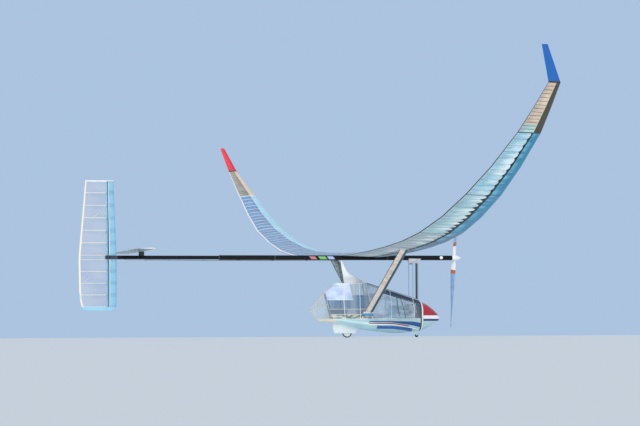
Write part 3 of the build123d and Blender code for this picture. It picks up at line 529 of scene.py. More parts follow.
def pieceFrom(name, points, faces, materials, slots=None, uvs=None, body="airframe", smooth=35, closed=False):
    mesh = bpy.data.meshes.new(name)
    mesh.from_pydata([Vector(p) / 1000 for p in points], [], faces)
    for material in materials if isinstance(materials, list) else [materials]:
        mesh.materials.append(material)
    if slots:
        mesh.polygons.foreach_set("material_index", slots)
    if uvs:
        layer = mesh.uv_layers.new(name="span")
        for loop in mesh.loops:
            layer.data[loop.index].uv = uvs[loop.vertex_index]
    if closed:
        work = bmesh.new()
        work.from_mesh(mesh)
        bmesh.ops.remove_doubles(work, verts=work.verts, dist=1e-6)
        bmesh.ops.recalc_face_normals(work, faces=work.faces)
        work.to_mesh(mesh)
        work.free()
    mesh.polygons.foreach_set("use_smooth", [True] * len(mesh.polygons))
    mesh.set_sharp_from_angle(angle=math.radians(smooth))
    mesh.update()
    piece = bpy.data.objects.new(name, mesh)
    bpy.context.scene.collection.objects.link(piece)
    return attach(piece, body)


def lofted(rings, ringClosed=False, capped=False):
    points = [p for ring in rings for p in ring]
    size, faces = len(rings[0]), []
    for i in range(len(rings) - 1):
        for j in range(size if ringClosed else size - 1):
            k = (j + 1) % size
            faces.append((i * size + j, i * size + k, (i + 1) * size + k, (i + 1) * size + j))
    if capped:
        faces.append(tuple(range(size))[::-1])
        faces.append(tuple(range((len(rings) - 1) * size, len(rings) * size)))
    return points, faces


def placedPoint(station, point):
    start, along, up = station
    return start + along * point[0] + up * point[1]


def stationBetween(one, other, share):
    return tuple(a.lerp(b, share) for a, b in zip(one, other))


def stationAlong(stations, share):
    spans = len(stations) - 1
    i = min(int(share * spans), spans - 1)
    return stationBetween(stations[i], stations[i + 1], share * spans - i)


# Wing: the same rows as in the part's source
wing = {
    "rows": [  # name of the panel that ends here, y, z and x of the leading edge, chord, dihedral, rib bays
        ("root", 0, 45, 380, 1060, 0.0, 0),
        ("centre", 1000, 50, 376, 1055, 0.8, 7),
        ("inner", 3900, 130, 352, 1030, 3.0, 10),
        ("mid", 6430, 340, 315, 950, 8.0, 9),
        ("outer", 9560, 975, 180, 745, 15.5, 11),
        ("end", 12450, 2000, 60, 460, 22.5, 11),
        ("tip", 14130, 2790, -110, 230, 26.0, 14),
    ],
    "winglet": (14360, 3460, -425, 113, 71.5),    # y, z and x of its end, chord, lean
    "wingletBand": (0.035, 0.006),    # the black band at its foot: height and thickness, as shares
    "mitre": 48,
    "boxShare": 0.36,
    "stripShare": 0.955,
    "proud": 1.1,          # the film lies this far outside the frame
    "sag": 5.0,            # how far it sinks between two ribs
    "baySteps": 4,
    "sheetSlack": 0.01,    # a flat sheet's extra length and width, as a share
}
sides = (("left", 1), ("right", -1))


def bentHeight(low, high, share):
    run = high[1] - low[1]
    a, b = math.tan(math.radians(low[5])) * run, math.tan(math.radians(high[5])) * run
    s = share
    return ((2 * s**3 - 3 * s**2 + 1) * low[2] + (s**3 - 2 * s**2 + s) * a
            + (3 * s**2 - 2 * s**3) * high[2] + (s**3 - s**2) * b)


def wingStation(low, high, share, side, tilt=None):
    start = Vector((between(low[3], high[3], share), between(low[1], high[1], share) * side,
                    bentHeight(low, high, share)))
    chord = between(low[4], high[4], share)
    lean = math.radians(between(low[5], high[5], share) if tilt is None else tilt)
    return start, Vector((-chord, 0, 0)), Vector((0, -math.sin(lean) * side, math.cos(lean))) * chord


def panelStations(low, high, side):
    stations = [wingStation(low, high, share, side) for share in (0, 0.5, 1)]
    if high[0] == "tip":
        stations[-1] = wingStation(low, high, 1, side, wing["mitre"])
    return stations


# A thin cover over part of a section, from the first station to the last. slotOf gives the material
# by the face's place round the section, sinkOf the dip by the share of the chord, and axis the
# coordinate that the materials measure along.
def coverSheet(name, stations, run, bays, materials, slotOf=lambda k: 0, sinkOf=lambda share: 0.0,
               body="airframe", axis=1):
    count = bays * wing["baySteps"]
    middleOfRun = Vector((sum(p[0] for p in run), sum(p[1] for p in run))) / len(run)
    rings, uvs, bayNumbers, middles = [], [], [], []
    for i in range(count + 1):
        share = i / count
        station = stationAlong(stations, share)
        chord = station[1].length
        dip = 4 * (share * bays % 1) * (1 - share * bays % 1)
        grown = grownPoints(run, wing["proud"] / chord)
        ring = []
        for base, (along, height) in zip(run, grown):
            height -= math.copysign(sinkOf(base[0]) * dip / station[2].length, base[1] - middleOfRun[1])
            ring.append(placedPoint(station, (along, height)))
            uvs.append((station[0][axis] / 1000, base[0] if base[1] > middleOfRun[1] else -base[0]))
            bayNumbers.append(share * bays)
        middles.append(placedPoint(station, middleOfRun))
        rings.append(ring)
    points, faces = lofted(rings)
    size = len(run)
    lean = 0.0
    for k, face in enumerate(faces):
        a, b, c = (points[n] for n in face[:3])
        lean += (b - a).cross(c - a).dot(a - middles[k // (size - 1)])
    if lean < 0:
        faces = [face[::-1] for face in faces]
    slots = [slotOf(k % (size - 1)) for k in range(len(faces))]
    piece = pieceFrom(name, points, faces, materials, slots, uvs, body)
    bay = piece.data.attributes.new("bay", "FLOAT", "POINT")
    bay.data.foreach_set("value", bayNumbers)
    length = sum((b - a).length for a, b in zip(middles, middles[1:])) / 1000


# Film and skins
def paint(red, green, blue):
    return tuple((c / 255 / 12.92 if c < 10 else ((c / 255 + 0.055) / 1.055) ** 2.4)
                 for c in (red, green, blue)) + (1,)


# Metres from the middle, and the share of the chord, of a cover's point.
def spanAndShare():
    layer = newNode("ShaderNodeUVMap")
    layer.uv_map = "span"
    parts = splitUp(layer.outputs[0])
    return layer.outputs[0], calc("ABSOLUTE", parts[0]), calc("ABSOLUTE", parts[1])


def toNearestRib():
    number = newNode("ShaderNodeAttribute")
    number.attribute_name = "bay"
    return calc("PINGPONG", number.outputs["Fac"], 0.5)


def anyOf(masks):
    total = masks[0]
    for mask in masks[1:]:
        total = calc("MAXIMUM", total, mask)
    return total


def jointTape(span, half):
    joints = [row[1] / 1000 for row in wing["rows"][1:-1]]
    return anyOf([within(span, y - half, y + half, 0.003) for y in joints])


# A colour that changes along the span; stops are metres and colours.
def spanColour(span, stops):
    colour = stops[0][1]
    for place, after in stops[1:]:
        colour = blendColour(rise(span, place - 0.01, place + 0.01), colour, after)
    return colour


# The tip panels are coloured apart from the rest.
def onTip(span):
    start = wing["rows"][-2][1] / 1000
    return rise(span, start, start + 0.02)


filmLook = {
    # The underside film's colours are lightened as painted light, for sunlight shining through the film.
    "under": [(0, paint(172, 188, 192)), (1.0, paint(164, 186, 196)), (3.9, paint(166, 194, 202)),
              (6.43, paint(166, 218, 226)), (9.56, paint(168, 224, 240)), (12.45, paint(200, 230, 222)),
              (12.75, paint(238, 208, 178))],
    "top": [(0, paint(100, 148, 210)), (12.45, paint(190, 180, 168))],
    # The nose skin is one light blue foam. Its underside colours, teal and dark olive at the tip, are painted
    # shade; its top colours, pale cyan and cream, are painted light.
    "noseUnderShaded": [(0, paint(112, 126, 124)), (1.0, paint(98, 114, 142)), (3.9, paint(82, 124, 154)),
                  (6.43, paint(52, 142, 178)), (9.56, paint(50, 140, 176)), (12.45, paint(76, 70, 54))],
    "noseTopLit": [(0, paint(176, 226, 246)), (12.45, paint(236, 210, 180))],
    "underAlpha": 0.72,
    "topAlpha": 0.55,
}


def makeFilmUnder():
    material, shader, place = newMaterial("filmUnder", 0.4, Specular_IOR_Level=0.2)
    vector, span, share = spanAndShare()
    rib = toNearestRib()
    pull = useEffect("stretch", Vector=vector, Bays=5.5, Seed=1.7, Fine=0.12)
    hatch = useEffect("stretch", Vector=vector, Bays=14.0, Seed=7.1, Fine=0.5)
    # Span colours lightened as painted light, for sunlight shining through the film.
    colour = spanColour(span, filmLook["under"])
    inner = fall(span, 5.6, 6.6)
    speck = rise(noise(place, 16.0, 2.0), 0.56, 0.66) * inner
    colour = blendColour(speck * within(span, 3.0, 6.2, 0.5), colour, paint(214, 168, 172))
    # Pale streaks in each bay, strongest near the spar, and pale wedges in mid-bay behind the nose box further
    # out: painted highlights where the film catches the light.
    nearSpar = fall(share, 0.5, 0.85)
    paintedHighlight = pull["Streak"] * (nearSpar * 0.7 + 0.25)
    fromBox = share - wing["boxShare"]
    taper = rib * 2.0 - fromBox / 0.5
    wedge = rise(taper, 0.0, 0.3) * rise(span, 6.2, 7.2)
    wedge = wedge * (pull["Streak"] * 0.5 + 0.4)
    paintedHighlight = calc("MAXIMUM", paintedHighlight, wedge)
    tip = onTip(span)
    colour = blendColour(paintedHighlight * (tip * -0.8 + 0.95), colour, paint(240, 250, 250))
    rear = hatch["Streak"] * rise(share, 0.62, 0.92)
    colour = blendColour(rear * 0.55, colour, paint(132, 150, 158))
    ribLine = fall(rib, 0.02, 0.045)
    tipRib = tip * fall(rib, 0.03, 0.09)
    colour = blendColour(ribLine * 0.6, colour, paint(96, 120, 130))
    colour = blendColour(tipRib * 0.85, colour, paint(70, 60, 50))
    reach = curveOf(span, [(0, 0.045), (6.42, 0.05), (6.44, 0.13), (9.55, 0.13), (9.57, 0.06), (12.44, 0.06),
                           (12.46, 0.0), (14.2, 0.0)])
    depth = fromBox / (reach + 0.001)
    edge = 1.0 - rib / 0.4
    tooth = rise(edge - depth, -0.02, 0.04)
    joint = jointTape(span, 0.014)
    tail = rise(share, 0.97, 0.976)
    edgeOfBox = fall(share, 0.372, 0.376)
    edgeOfBox = edgeOfBox * (1.0 - tip)
    dark = anyOf([tooth, joint, tail, edgeOfBox])
    tape = rise(share, 0.952, 0.956) * (1.0 - tail)
    colour = blendColour(tape, colour, paint(196, 206, 205))
    colour = blendColour(dark, colour, paint(28, 32, 36))
    # The painted highlights also make the film less clear.
    clear = paintedHighlight * 0.3 + filmLook["underAlpha"]
    feed(shader["Base Color"], colour)
    feed(shader["Alpha"], anyOf([clear, dark, tape, ribLine * 0.9]))
    addBump(shader, pull["Height"], 0.25, 0.006)
    return material


def makeFilmTop():
    material, shader, _ = newMaterial("filmTop", 0.25, Specular_IOR_Level=0.35)
    vector, span, share = spanAndShare()
    rib = toNearestRib()
    pull = useEffect("stretch", Vector=vector, Bays=3.4, Seed=4.2, Fine=0.1)
    colour = spanColour(span, filmLook["top"])
    colour = blendColour(pull["Streak"] * 0.25, colour, paint(180, 210, 242))
    tip = onTip(span)
    ribLine = fall(rib, 0.035, 0.06)
    tape = anyOf([jointTape(span, 0.02), rise(share, 0.95, 0.954)])
    colour = blendColour(ribLine * 0.95, colour, blendColour(tip, paint(244, 246, 246), paint(110, 100, 88)))
    colour = blendColour(tape, colour, paint(240, 242, 240))
    feed(shader["Base Color"], colour)
    feed(shader["Alpha"], anyOf([pull["Streak"] * 0.16 + filmLook["topAlpha"], ribLine, tape]))
    addBump(shader, pull["Height"], 0.25, 0.006)
    return material


def makeNoseSkin(name, stops, under):
    material, shader, place = newMaterial(name, 0.45, Specular_IOR_Level=0.2)
    vector, span, share = spanAndShare()
    rib = toNearestRib()
    pull = useEffect("stretch", Vector=vector, Bays=6.0, Seed=2.4)
    colour = spanColour(span, stops)
    grain = useEffect("beads", Vector=place, Colour=colour, Beads=220.0)
    colour = grain["Colour"]
    outer = 1.0 - onTip(span)
    if under:
        fleck = pull["Streak"] * rise(share, 0.1, 0.28)
        colour = blendColour(fleck * (outer * 0.6), colour, paint(140, 214, 240))
        bars = anyOf([within(span, y - 0.02, y + 0.02, 0.004) for y in (2.55, 2.75, 2.95, 3.15)])
        colour = blendColour(bars * 0.8, colour, paint(44, 46, 62))
        spar = rise(share, 0.31, 0.316) * outer
        cream = rise(share, 0.33, 0.335) * (1.0 - outer)
        colour = blendColour(cream, colour, paint(232, 220, 190))
        colour = blendColour(anyOf([spar, jointTape(span, 0.012)]), colour, paint(22, 24, 28))
    else:
        patch = fall(rib, 0.03, 0.09)
        colour = blendColour(patch * 0.3, colour, paint(240, 246, 250))
        colour = blendColour(jointTape(span, 0.02), colour, paint(240, 242, 240))
        colour = blendColour(rise(share, 0.345, 0.35), colour, paint(232, 238, 240))
    finishOver(shader, place, colour, 0.18, 2.2, 0.4, grain, 0.2, 0.0005)
    return material


# The frame inside the film: foam ribs, with black gussets flat on the lower side.
def makeWingFoam():
    material, shader, place = newMaterial("wingFoam", 0.7)
    x, y, _ = splitUp(place)
    span = calc("ABSOLUTE", y)
    lead = curveOf(span, [(row[1] / 1000, row[3] / 1000) for row in wing["rows"]])
    chord = curveOf(span, [(row[1] / 1000, row[4] / 1000) for row in wing["rows"]])
    share = (lead - x) / chord
    facing = splitUp(newNode("ShaderNodeNewGeometry").outputs["Normal"])
    flat = rise(calc("ABSOLUTE", facing[2]), 0.45, 0.6)
    gusset = within(share, 0.35, 0.475, 0.002) * flat
    grain = useEffect("beads", Vector=place, Colour=paint(236, 236, 226), Beads=240.0)
    tip = onTip(span)
    colour = blendColour(tip * 0.85, grain["Colour"], paint(80, 70, 58))
    colour = blendColour(gusset, colour, paint(24, 25, 28))
    finishOver(shader, place, colour, 0.2, 4.0, 0.65, grain, 0.4, 0.0008)
    return material


finishes["wingFoam"] = makeWingFoam()
filmPair = [makeFilmTop(), makeFilmUnder()]
# Two copies of the one nose foam: the top skin is painted lit, the underside skin is painted shaded.
skinPair = [makeNoseSkin("noseSkinTopLit", filmLook["noseTopLit"], False),
            makeNoseSkin("noseSkinUnderShaded", filmLook["noseUnderShaded"], True)]


def wingSink(share):
    inside = (share - wing["boxShare"]) / (wing["stripShare"] - wing["boxShare"])
    return wing["sag"] * math.sin(math.pi * inside) ** 0.7 if 0 < inside < 1 else 0.0


def coverPanel(label, stations, bays):
    curve = wingCurve()
    filmRun = joinedPoints(curve["rear"], curve["lower"])
    skinRun = joinedPoints(curve["front"], curve["nose"], curve["upper"])
    upperFaces = len(curve["rear"]) - 1
    lowerFaces = len(curve["front"]) - 1 + len(curve["nose"]) // 2
    coverSheet(f"wingFilm.{label}", stations, filmRun, bays, filmPair, lambda k: int(k >= upperFaces),
               wingSink)
    coverSheet(f"wingNose.{label}", stations, skinRun, bays, skinPair, lambda k: int(k < lowerFaces))


rows = wing["rows"]
centreStations = [wingStation(rows[0], rows[1], 1, -1), wingStation(rows[0], rows[1], 0, 1),
                  wingStation(rows[0], rows[1], 1, 1)]
coverPanel("centre", centreStations, rows[1][6])
for word, side in sides:
    for low, high in zip(rows[1:], rows[2:]):
        coverPanel(f"{high[0]}.{word}", panelStations(low, high, side), high[6])
print("wing covered")


# Fin and tailplane
tail = {
    "finRows": [(-1189, -5965, 675), (-1110, -5912, 778), (-900, -5899, 846), (0, -5897, 862),
                (1734, -5970, 633)],    # z, x of the leading edge, chord
    "finThickness": 0.11,
    "finNose": 0.24,
    "finPivot": -6127,
    "finSlotTail": 55,
    "finSlotHalf": 47,
    "ribPitch": 285,
    "planeRows": [(45, -5216, 555), (1780, -5287, 420), (1850, -5330, 350)],    # y, x, chord
    "planeZ": 150,
    "planeThickness": 0.09,
    "planeNose": 0.28,
    "planeBays": 6,
    "stripShare": 0.955,
    "sag": 4.0,
}


def makeTailFilm(name, colour, alpha, braces=False):
    material, shader, _ = newMaterial(name, 0.25, Specular_IOR_Level=0.3)
    vector, span, share = spanAndShare()
    rib = toNearestRib()
    pull = useEffect("stretch", Vector=vector, Bays=3.0, Seed=9.3, Fine=0.08)
    tint = blendColour(pull["Streak"] * 0.4, colour, paint(120, 160, 214))
    ribLine = fall(rib, 0.015, 0.03)
    strip = rise(share, 0.95, 0.954)
    tint = blendColour(ribLine, tint, paint(232, 226, 208))
    tint = blendColour(strip, tint, paint(238, 230, 212))
    solid = anyOf([ribLine, strip])
    if braces:
        across = calc("PINGPONG", span * 1.6 + share, 0.5)
        brace = fall(across, 0.015, 0.035)
        tint = blendColour(brace * 0.7, tint, paint(60, 84, 92))
    feed(shader["Base Color"], tint)
    feed(shader["Alpha"], anyOf([pull["Streak"] * 0.12 + alpha, solid]))
    addBump(shader, pull["Height"], 0.2, 0.005)
    return material


def makeTailSkin(name, colour, patches):
    material, shader, place = newMaterial(name, 0.45, Specular_IOR_Level=0.25)
    _, _, share = spanAndShare()
    rib = toNearestRib()
    grain = useEffect("beads", Vector=place, Colour=colour, Beads=230.0)
    patch = fall(noise(place, 5.0) * -0.2 + rib, -0.02, 0.16)
    tint = blendColour(patch * patches, grain["Colour"], paint(96, 150, 190))
    pale = rise(share, 0.18, 0.184)
    dark = rise(share, 0.2, 0.203)
    tint = blendColour(pale, tint, paint(226, 232, 232))
    tint = blendColour(dark, tint, paint(34, 40, 48))
    finishOver(shader, place, tint, 0.2, 3.0, 0.42, grain, 0.25, 0.0006)
    return material


finFilm = makeTailFilm("finFilm", paint(208, 206, 212), 0.22)
finSkin = makeTailSkin("finNoseSkin", paint(152, 204, 230), 0.32)
planeFilms = [makeTailFilm("tailplaneFilmTop", paint(150, 176, 200), 0.5),
              makeTailFilm("tailplaneFilmUnder", paint(66, 112, 120), 0.8, True)]
planeSkin = makeTailSkin("tailplaneNoseSkin", paint(232, 240, 242), 0.2)


def finStation(z):
    rows = tail["finRows"]
    for low, high in zip(rows, rows[1:]):
        if low[0] <= z <= high[0]:
            share = (z - low[0]) / (high[0] - low[0])
            x, chord = between(low[1], high[1], share), between(low[2], high[2], share)
            return Vector((x, 0, z)), Vector((-chord, 0, 0)), Vector((0, chord * tail["finThickness"], 0))
    return finStation(rows[-1][0])


def partRun(run, low, high):
    return [p for p in run if low - 1e-6 <= p[0] <= high + 1e-6]


# The film's and the nose skin's runs round a tail section, which meet at a share of the chord.
def tailRuns(curve, meet):
    film = joinedPoints(partRun(curve["upper"], meet, 1), curve["rear"], curve["lower"],
                        partRun(curve["front"], meet, 1))
    skin = joinedPoints(partRun(curve["front"], 0, meet), curve["nose"], partRun(curve["upper"], 0, meet))
    return film, skin


def tailSink(share):
    inside = (share - tail["finNose"]) / (tail["stripShare"] - tail["finNose"])
    return tail["sag"] * math.sin(math.pi * inside) if 0 < inside < 1 else 0.0


def coverFin():
    curve = evenCurve()
    filmRun, skinRun = tailRuns(curve, tail["finNose"])
    half = tail["finSlotHalf"]
    slotShare = (tail["finSlotTail"] + tail["finRows"][3][1] - tail["finPivot"]) / tail["finRows"][3][2]
    shortRun = joinedPoints(partRun(curve["rear"], slotShare, 1), partRun(curve["lower"], slotShare, 1))
    ends = tail["finRows"][1][0], tail["finRows"][-1][0]
    for word, low, high in (("low", ends[0], -half), ("high", half, ends[1])):
        stations = [finStation(between(low, high, i / 6)) for i in range(7)]
        bays = round((high - low) / tail["ribPitch"])
        coverSheet(f"finFilm.{word}", stations, filmRun, bays, finFilm, sinkOf=tailSink,
                   body="rudder", axis=2)
        coverSheet(f"finNose.{word}", stations, skinRun, bays, finSkin, body="rudder", axis=2)
    stations = [finStation(z) for z in (-half, half)]
    coverSheet("finFilm.middle", stations, shortRun, 1, finFilm, body="rudder", axis=2)


def coverTailplane():
    filmRun, skinRun = tailRuns(evenCurve(), tail["planeNose"])
    upper = len(filmRun) // 2
    for word, side in sides:
        stations = [(Vector((x, y * side, tail["planeZ"])), Vector((-chord, 0, 0)),
                     Vector((0, 0, chord * tail["planeThickness"]))) for y, x, chord in tail["planeRows"][:2]]
        coverSheet(f"tailplaneFilm.{word}", stations, filmRun, tail["planeBays"], planeFilms,
                   lambda k: int(k >= upper), tailSink, "stabilator")
        coverSheet(f"tailplaneNose.{word}", stations, skinRun, tail["planeBays"], planeSkin,
                   body="stabilator")


coverFin()
coverTailplane()
print("tail covered")


# Pod, boom, drive and propeller finishes
boomLook = {
    "tapes": ((-1.43, -1.29, paint(196, 130, 134)), (-1.22, -1.05, paint(128, 190, 116)),
              (-1.01, -0.87, paint(176, 192, 226))),    # from, to and colour, in metres along the boom
    "joints": (-3.55, -2.25, 0.4),
    "disc": (1.69, 0.005, 0.036),    # x, z and radius of the white disc on the front tube
}


# Glossy black tube with three slanted patches of coloured tape, rings at its joints and a white disc.
def makeBoomCarbon():
    material, shader, place = newMaterial("boomCarbon", Coat_Weight=0.12, Coat_Roughness=0.06,
                                          Specular_IOR_Level=0.12)
    cloth = useEffect("weave", Vector=place, Tows=620.0, Light=0.008)
    x, _, z = splitUp(place)
    slant = z * 0.9 + x
    colour = cloth["Colour"]
    side = within(z, -0.036, 0.03, 0.002)
    for low, high, tape in boomLook["tapes"]:
        patch = within(slant, low, high, 0.004) * side
        colour = blendColour(patch, colour, tape)
    joints = anyOf([within(x, at - 0.004, at + 0.004, 0.001) for at in boomLook["joints"]])
    colour = blendColour(joints * 0.7, colour, paint(120, 126, 134))
    discX, discZ, radius = boomLook["disc"]
    across, up = x - discX, z - discZ
    away = calc("SQRT", across * across + up * up)
    colour = blendColour(fall(away, radius, radius + 0.003), colour, paint(236, 238, 240))
    feed(shader["Base Color"], colour)
    feed(shader["Roughness"], cloth["Roughness"])
    addBump(shader, cloth["Height"], 0.15, 0.0002)
    return material


hullLook = {    # x and z in metres of the stripes' edges along the hull's side
    "upperTop": [(-0.3, -1.455), (0.4, -1.455), (0.95, -1.47), (1.13, -1.5)],
    "upperLow": [(-0.3, -1.478), (0.4, -1.482), (0.95, -1.56), (1.13, -1.6)],
    "redTop": [(-0.3, -1.498), (0.45, -1.5), (0.75, -1.545), (1.13, -1.62)],
    "redDepth": 0.024,
    "whiteGap": 0.026,    # from the red line's top to the white line's
    "whiteDepth": 0.02,
    "bandTop": [(-0.3, -1.555), (0.45, -1.56), (0.8, -1.6), (1.13, -1.66)],
    "bandDepth": 0.075,
}


# Pale hull with a blue wedge, a dark red line, a white line and a blue band along its side.
def makeHullShell():
    material, shader, place = newMaterial("hullShell", 0.3, Coat_Weight=0.5, Coat_Roughness=0.1)
    x, _, z = splitUp(place)
    colour = blendColour(fall(x, -0.95, -0.75), paint(178, 214, 220), paint(226, 216, 190))
    upperTop, upperLow, redTop, bandTop = (curveOf(x, hullLook[edge])
                                           for edge in ("upperTop", "upperLow", "redTop", "bandTop"))

    def stripe(top, low, start, end):
        inside = rise(top - z, -0.002, 0.002) * rise(z - low, -0.002, 0.002)
        return inside * within(x, start, end, 0.01)

    colour = blendColour(stripe(upperTop, upperLow, -0.1, 1.2), colour, paint(38, 82, 150))
    red = stripe(redTop, redTop - hullLook["redDepth"], -0.1, 0.85)
    colour = blendColour(red, colour, paint(140, 40, 48))
    whiteTop = redTop - hullLook["whiteGap"]
    white = stripe(whiteTop, whiteTop - hullLook["whiteDepth"], -0.1, 1.2)
    colour = blendColour(white, colour, paint(244, 246, 246))
    band = stripe(bandTop, bandTop - hullLook["bandDepth"], 0.1, 0.95)
    colour = blendColour(band, colour, paint(52, 104, 170))
    finishOver(shader, place, colour, 0.3, 3.4, 0.3, strength=0.2, depth=0.0003)
    return material


# Red above, a white band, a navy line, and pale below.
def makeNoseShell():
    material, shader, place = newMaterial("noseShell", 0.28, Coat_Weight=0.6, Coat_Roughness=0.08)
    x, _, z = splitUp(place)
    colour = paint(178, 210, 220)
    for low, paintOver in ((-1.456, paint(34, 42, 96)), (-1.408, paint(240, 242, 244)),
                           (-1.33, paint(176, 22, 46))):
        colour = blendColour(rise(z, low - 0.003, low + 0.003), colour, paintOver)
    colour = blendColour(rise(x, 1.196, 1.2), paint(238, 240, 242), colour)
    seam = within(x, 1.197, 1.203, 0.001)
    colour = blendColour(seam * 0.6, colour, paint(90, 90, 96))
    finishOver(shader, place, colour, 0.22, 4.0, 0.28, strength=0.2, depth=0.0003)
    return material


cabinLook = {    # low and high edges, metres
    "middle": (-1.18, -0.86),
    "band": (-1.3, -1.18),
    "foot": (-1.405, -1.315),
    "creases": (2.0, 2.0, 0.8),    # how much finer they are along each axis
}


# Thin clear film with creases.
def makePodFilm(name, colour, alpha, crease=0.3):
    material, shader, place = newMaterial(name, 0.12, Coat_Weight=0.5, Coat_Roughness=0.05)
    pull = useEffect("stretch", Vector=stretched(place, cabinLook["creases"]), Bays=2.0, Seed=3.3)
    tint = blendColour(pull["Streak"] * crease, colour, paint(240, 244, 248))
    feed(shader["Base Color"], tint)
    feed(shader["Alpha"], pull["Streak"] * (crease * 0.6) + alpha)
    addBump(shader, pull["Height"], 0.2, 0.003)
    return material


# Clear at the top, then a steel blue and a grey blue band, and crumpled film over the deck.
def makeCabinFilm():
    material, shader, place = newMaterial("cabinFilm", 0.12, Coat_Weight=0.5, Coat_Roughness=0.05)
    x, _, z = splitUp(place)
    pull = useEffect("stretch", Vector=stretched(place, cabinLook["creases"]), Bays=2.0, Seed=5.3)
    middle = within(z, *cabinLook["middle"], 0.004)
    ahead = rise(x, -0.52, -0.5)
    band = within(z, *cabinLook["band"], 0.004)
    colour = blendColour(middle, paint(206, 222, 236), paint(98, 136, 170))
    colour = blendColour(band, colour, paint(126, 140, 158))
    colour = blendColour(pull["Streak"] * 0.3, colour, paint(236, 242, 248))
    line = anyOf([within(z, at - 0.005, at + 0.005, 0.001) for at in cabinLook["band"]])
    colour = blendColour(line, colour, paint(226, 220, 198))
    alpha = middle * (ahead * 0.35) + (band * 0.4 + 0.2)
    alpha = calc("MULTIPLY_ADD", pull["Streak"], 0.15, alpha, clamp=True)
    crumple = rise(noise(stretched(place, (14.0, 14.0, 22.0)), 1.0, 4.0), 0.4, 0.6)
    foot = within(z, *cabinLook["foot"], 0.012)
    rumpled = blendColour(crumple, paint(112, 132, 122), paint(230, 228, 210))
    colour = blendColour(foot, colour, rumpled)
    alpha = calc("MAXIMUM", alpha, foot * 0.82)
    feed(shader["Base Color"], colour)
    feed(shader["Alpha"], anyOf([alpha, line]))
    addBump(shader, pull["Height"], 0.2, 0.003)
    return material


# Clear, with a dark blue-grey band and a light edge along the top.
def makeFrontFilm():
    material, shader, place = newMaterial("frontFilm", 0.12, Coat_Weight=0.3, Coat_Roughness=0.05)
    x, _, z = splitUp(place)
    pull = useEffect("stretch", Vector=stretched(place, cabinLook["creases"]), Bays=2.0, Seed=3.3)
    top = curveOf(x, [(-0.13, -0.578), (0.43, -0.742), (1.13, -0.962)])
    below = top - z
    dark = within(below, 0.022, 0.1, 0.004) * rise(x, 0.3, 0.34)
    edge = fall(below, 0.018, 0.024)
    sheen = rise(noise(stretched(place, (2.4, 2.4, 5.0)), 1.0, 2.0), 0.5, 0.62) * 0.35
    colour = blendColour(pull["Streak"], paint(158, 190, 212), paint(208, 222, 236))
    colour = blendColour(dark, colour, paint(50, 64, 92))
    colour = blendColour(edge, colour, paint(196, 208, 220))
    clear = pull["Streak"] * 0.1 + (sheen + 0.1)
    feed(shader["Base Color"], colour)
    feed(shader["Alpha"], anyOf([clear, dark * 0.92, edge * 0.9]))
    addBump(shader, pull["Height"], 0.2, 0.003)
    return material


# Opaque panels: white along the top edge, pale blue below, with an upright and a level seam.
def makePanelFoam():
    material, shader, place = newMaterial("panelFoam", 0.4, Coat_Weight=0.2, Coat_Roughness=0.15)
    x, _, z = splitUp(place)
    mottle = noise(place, 5.0, 3.0)
    colour = blendColour(rise(mottle, 0.35, 0.65), paint(180, 202, 240), paint(216, 228, 246))
    colour = blendColour(rise(z, -0.625, -0.615), colour, paint(244, 248, 250))
    seam = anyOf([within(x, -0.655, -0.645, 0.002), within(z, -0.972, -0.96, 0.002)])
    colour = blendColour(seam * 0.8, colour, paint(244, 248, 250))
    finishOver(shader, place, colour, 0.25, 3.0, 0.4, strength=0.3, depth=0.001)
    return material


bladeLook = {"cuff": 0.28, "band": (0.285, 0.372), "tip": 1.56}    # metres from the axis


# Blue-grey laminate with a white cuff, an orange band beyond it and a red tip.
def makeBlade():
    material, shader, place = newMaterial("blade", 0.25, Coat_Weight=0.6, Coat_Roughness=0.08)
    _, y, z = splitUp(place)
    reach = calc("SQRT", y * y + z * z)
    grain = noise(stretched(place, (60.0, 60.0, 3.0)), 1.0, 4.0)
    colour = blendColour(rise(grain, 0.35, 0.65), paint(124, 162, 204), paint(150, 186, 220))
    cuff = fall(reach, bladeLook["cuff"] - 0.002, bladeLook["cuff"] + 0.002)
    colour = blendColour(cuff, colour, paint(238, 240, 240))
    colour = blendColour(within(reach, *bladeLook["band"], 0.003), colour, paint(176, 104, 58))
    colour = blendColour(rise(reach, bladeLook["tip"], bladeLook["tip"] + 0.005), colour, paint(206, 60, 50))
    finishOver(shader, place, colour, 0.2, 8.0, 0.25, strength=0.15, depth=0.0002)
    return material


def makeShaded(name, colour, amount, scale, rough):
    material, shader, place = newMaterial(name, rough, Coat_Weight=0.3, Coat_Roughness=0.15)
    finishOver(shader, place, colour(place), amount, scale, rough)
    return material


# Mottled tan and mottled pale skin, a dark teal front and a dark edge; which one shows goes by the way each
# face looks.
def strutColour(place):
    x, y, _ = splitUp(place)
    height = (calc("ABSOLUTE", y) - 0.318) / 2.982
    lead = height * 0.06 - 0.035
    share = (lead - x) / 0.195
    mottle = noise(place, 9.0, 4.0)
    tan = blendColour(rise(mottle, 0.4, 0.6), paint(220, 204, 182), paint(242, 226, 216))
    facing = splitUp(newNode("ShaderNodeNewGeometry").outputs["Normal"])
    # Faces that look up get the pale skin, painted lighter as if lit, behind only a thin teal front.
    above = rise(facing[2], -0.05, 0.05)
    pale = blendColour(rise(mottle, 0.38, 0.58), paint(186, 204, 194), paint(238, 246, 240))
    tan = blendColour(above, tan, pale)
    # Faces that look down keep the tan behind a dark teal front third, which is painted shade.
    behind = share - (above * -0.28 + 0.35)
    colour = blendColour(rise(behind, -0.01, 0.01), paint(36, 76, 92), tan)
    edge = anyOf([rise(share, 0.93, 0.95), within(behind, -0.02, 0.02, 0.005)])
    return blendColour(edge, colour, paint(40, 42, 48))


def footColour(place):
    z = splitUp(place)[2]
    lower = fall(z, -1.29, -1.27)
    return blendColour(lower, paint(236, 240, 242), paint(96, 150, 204))


def patchyPale(first, second, scale):
    return lambda place: blendColour(rise(noise(place, scale), 0.35, 0.65), first, second)


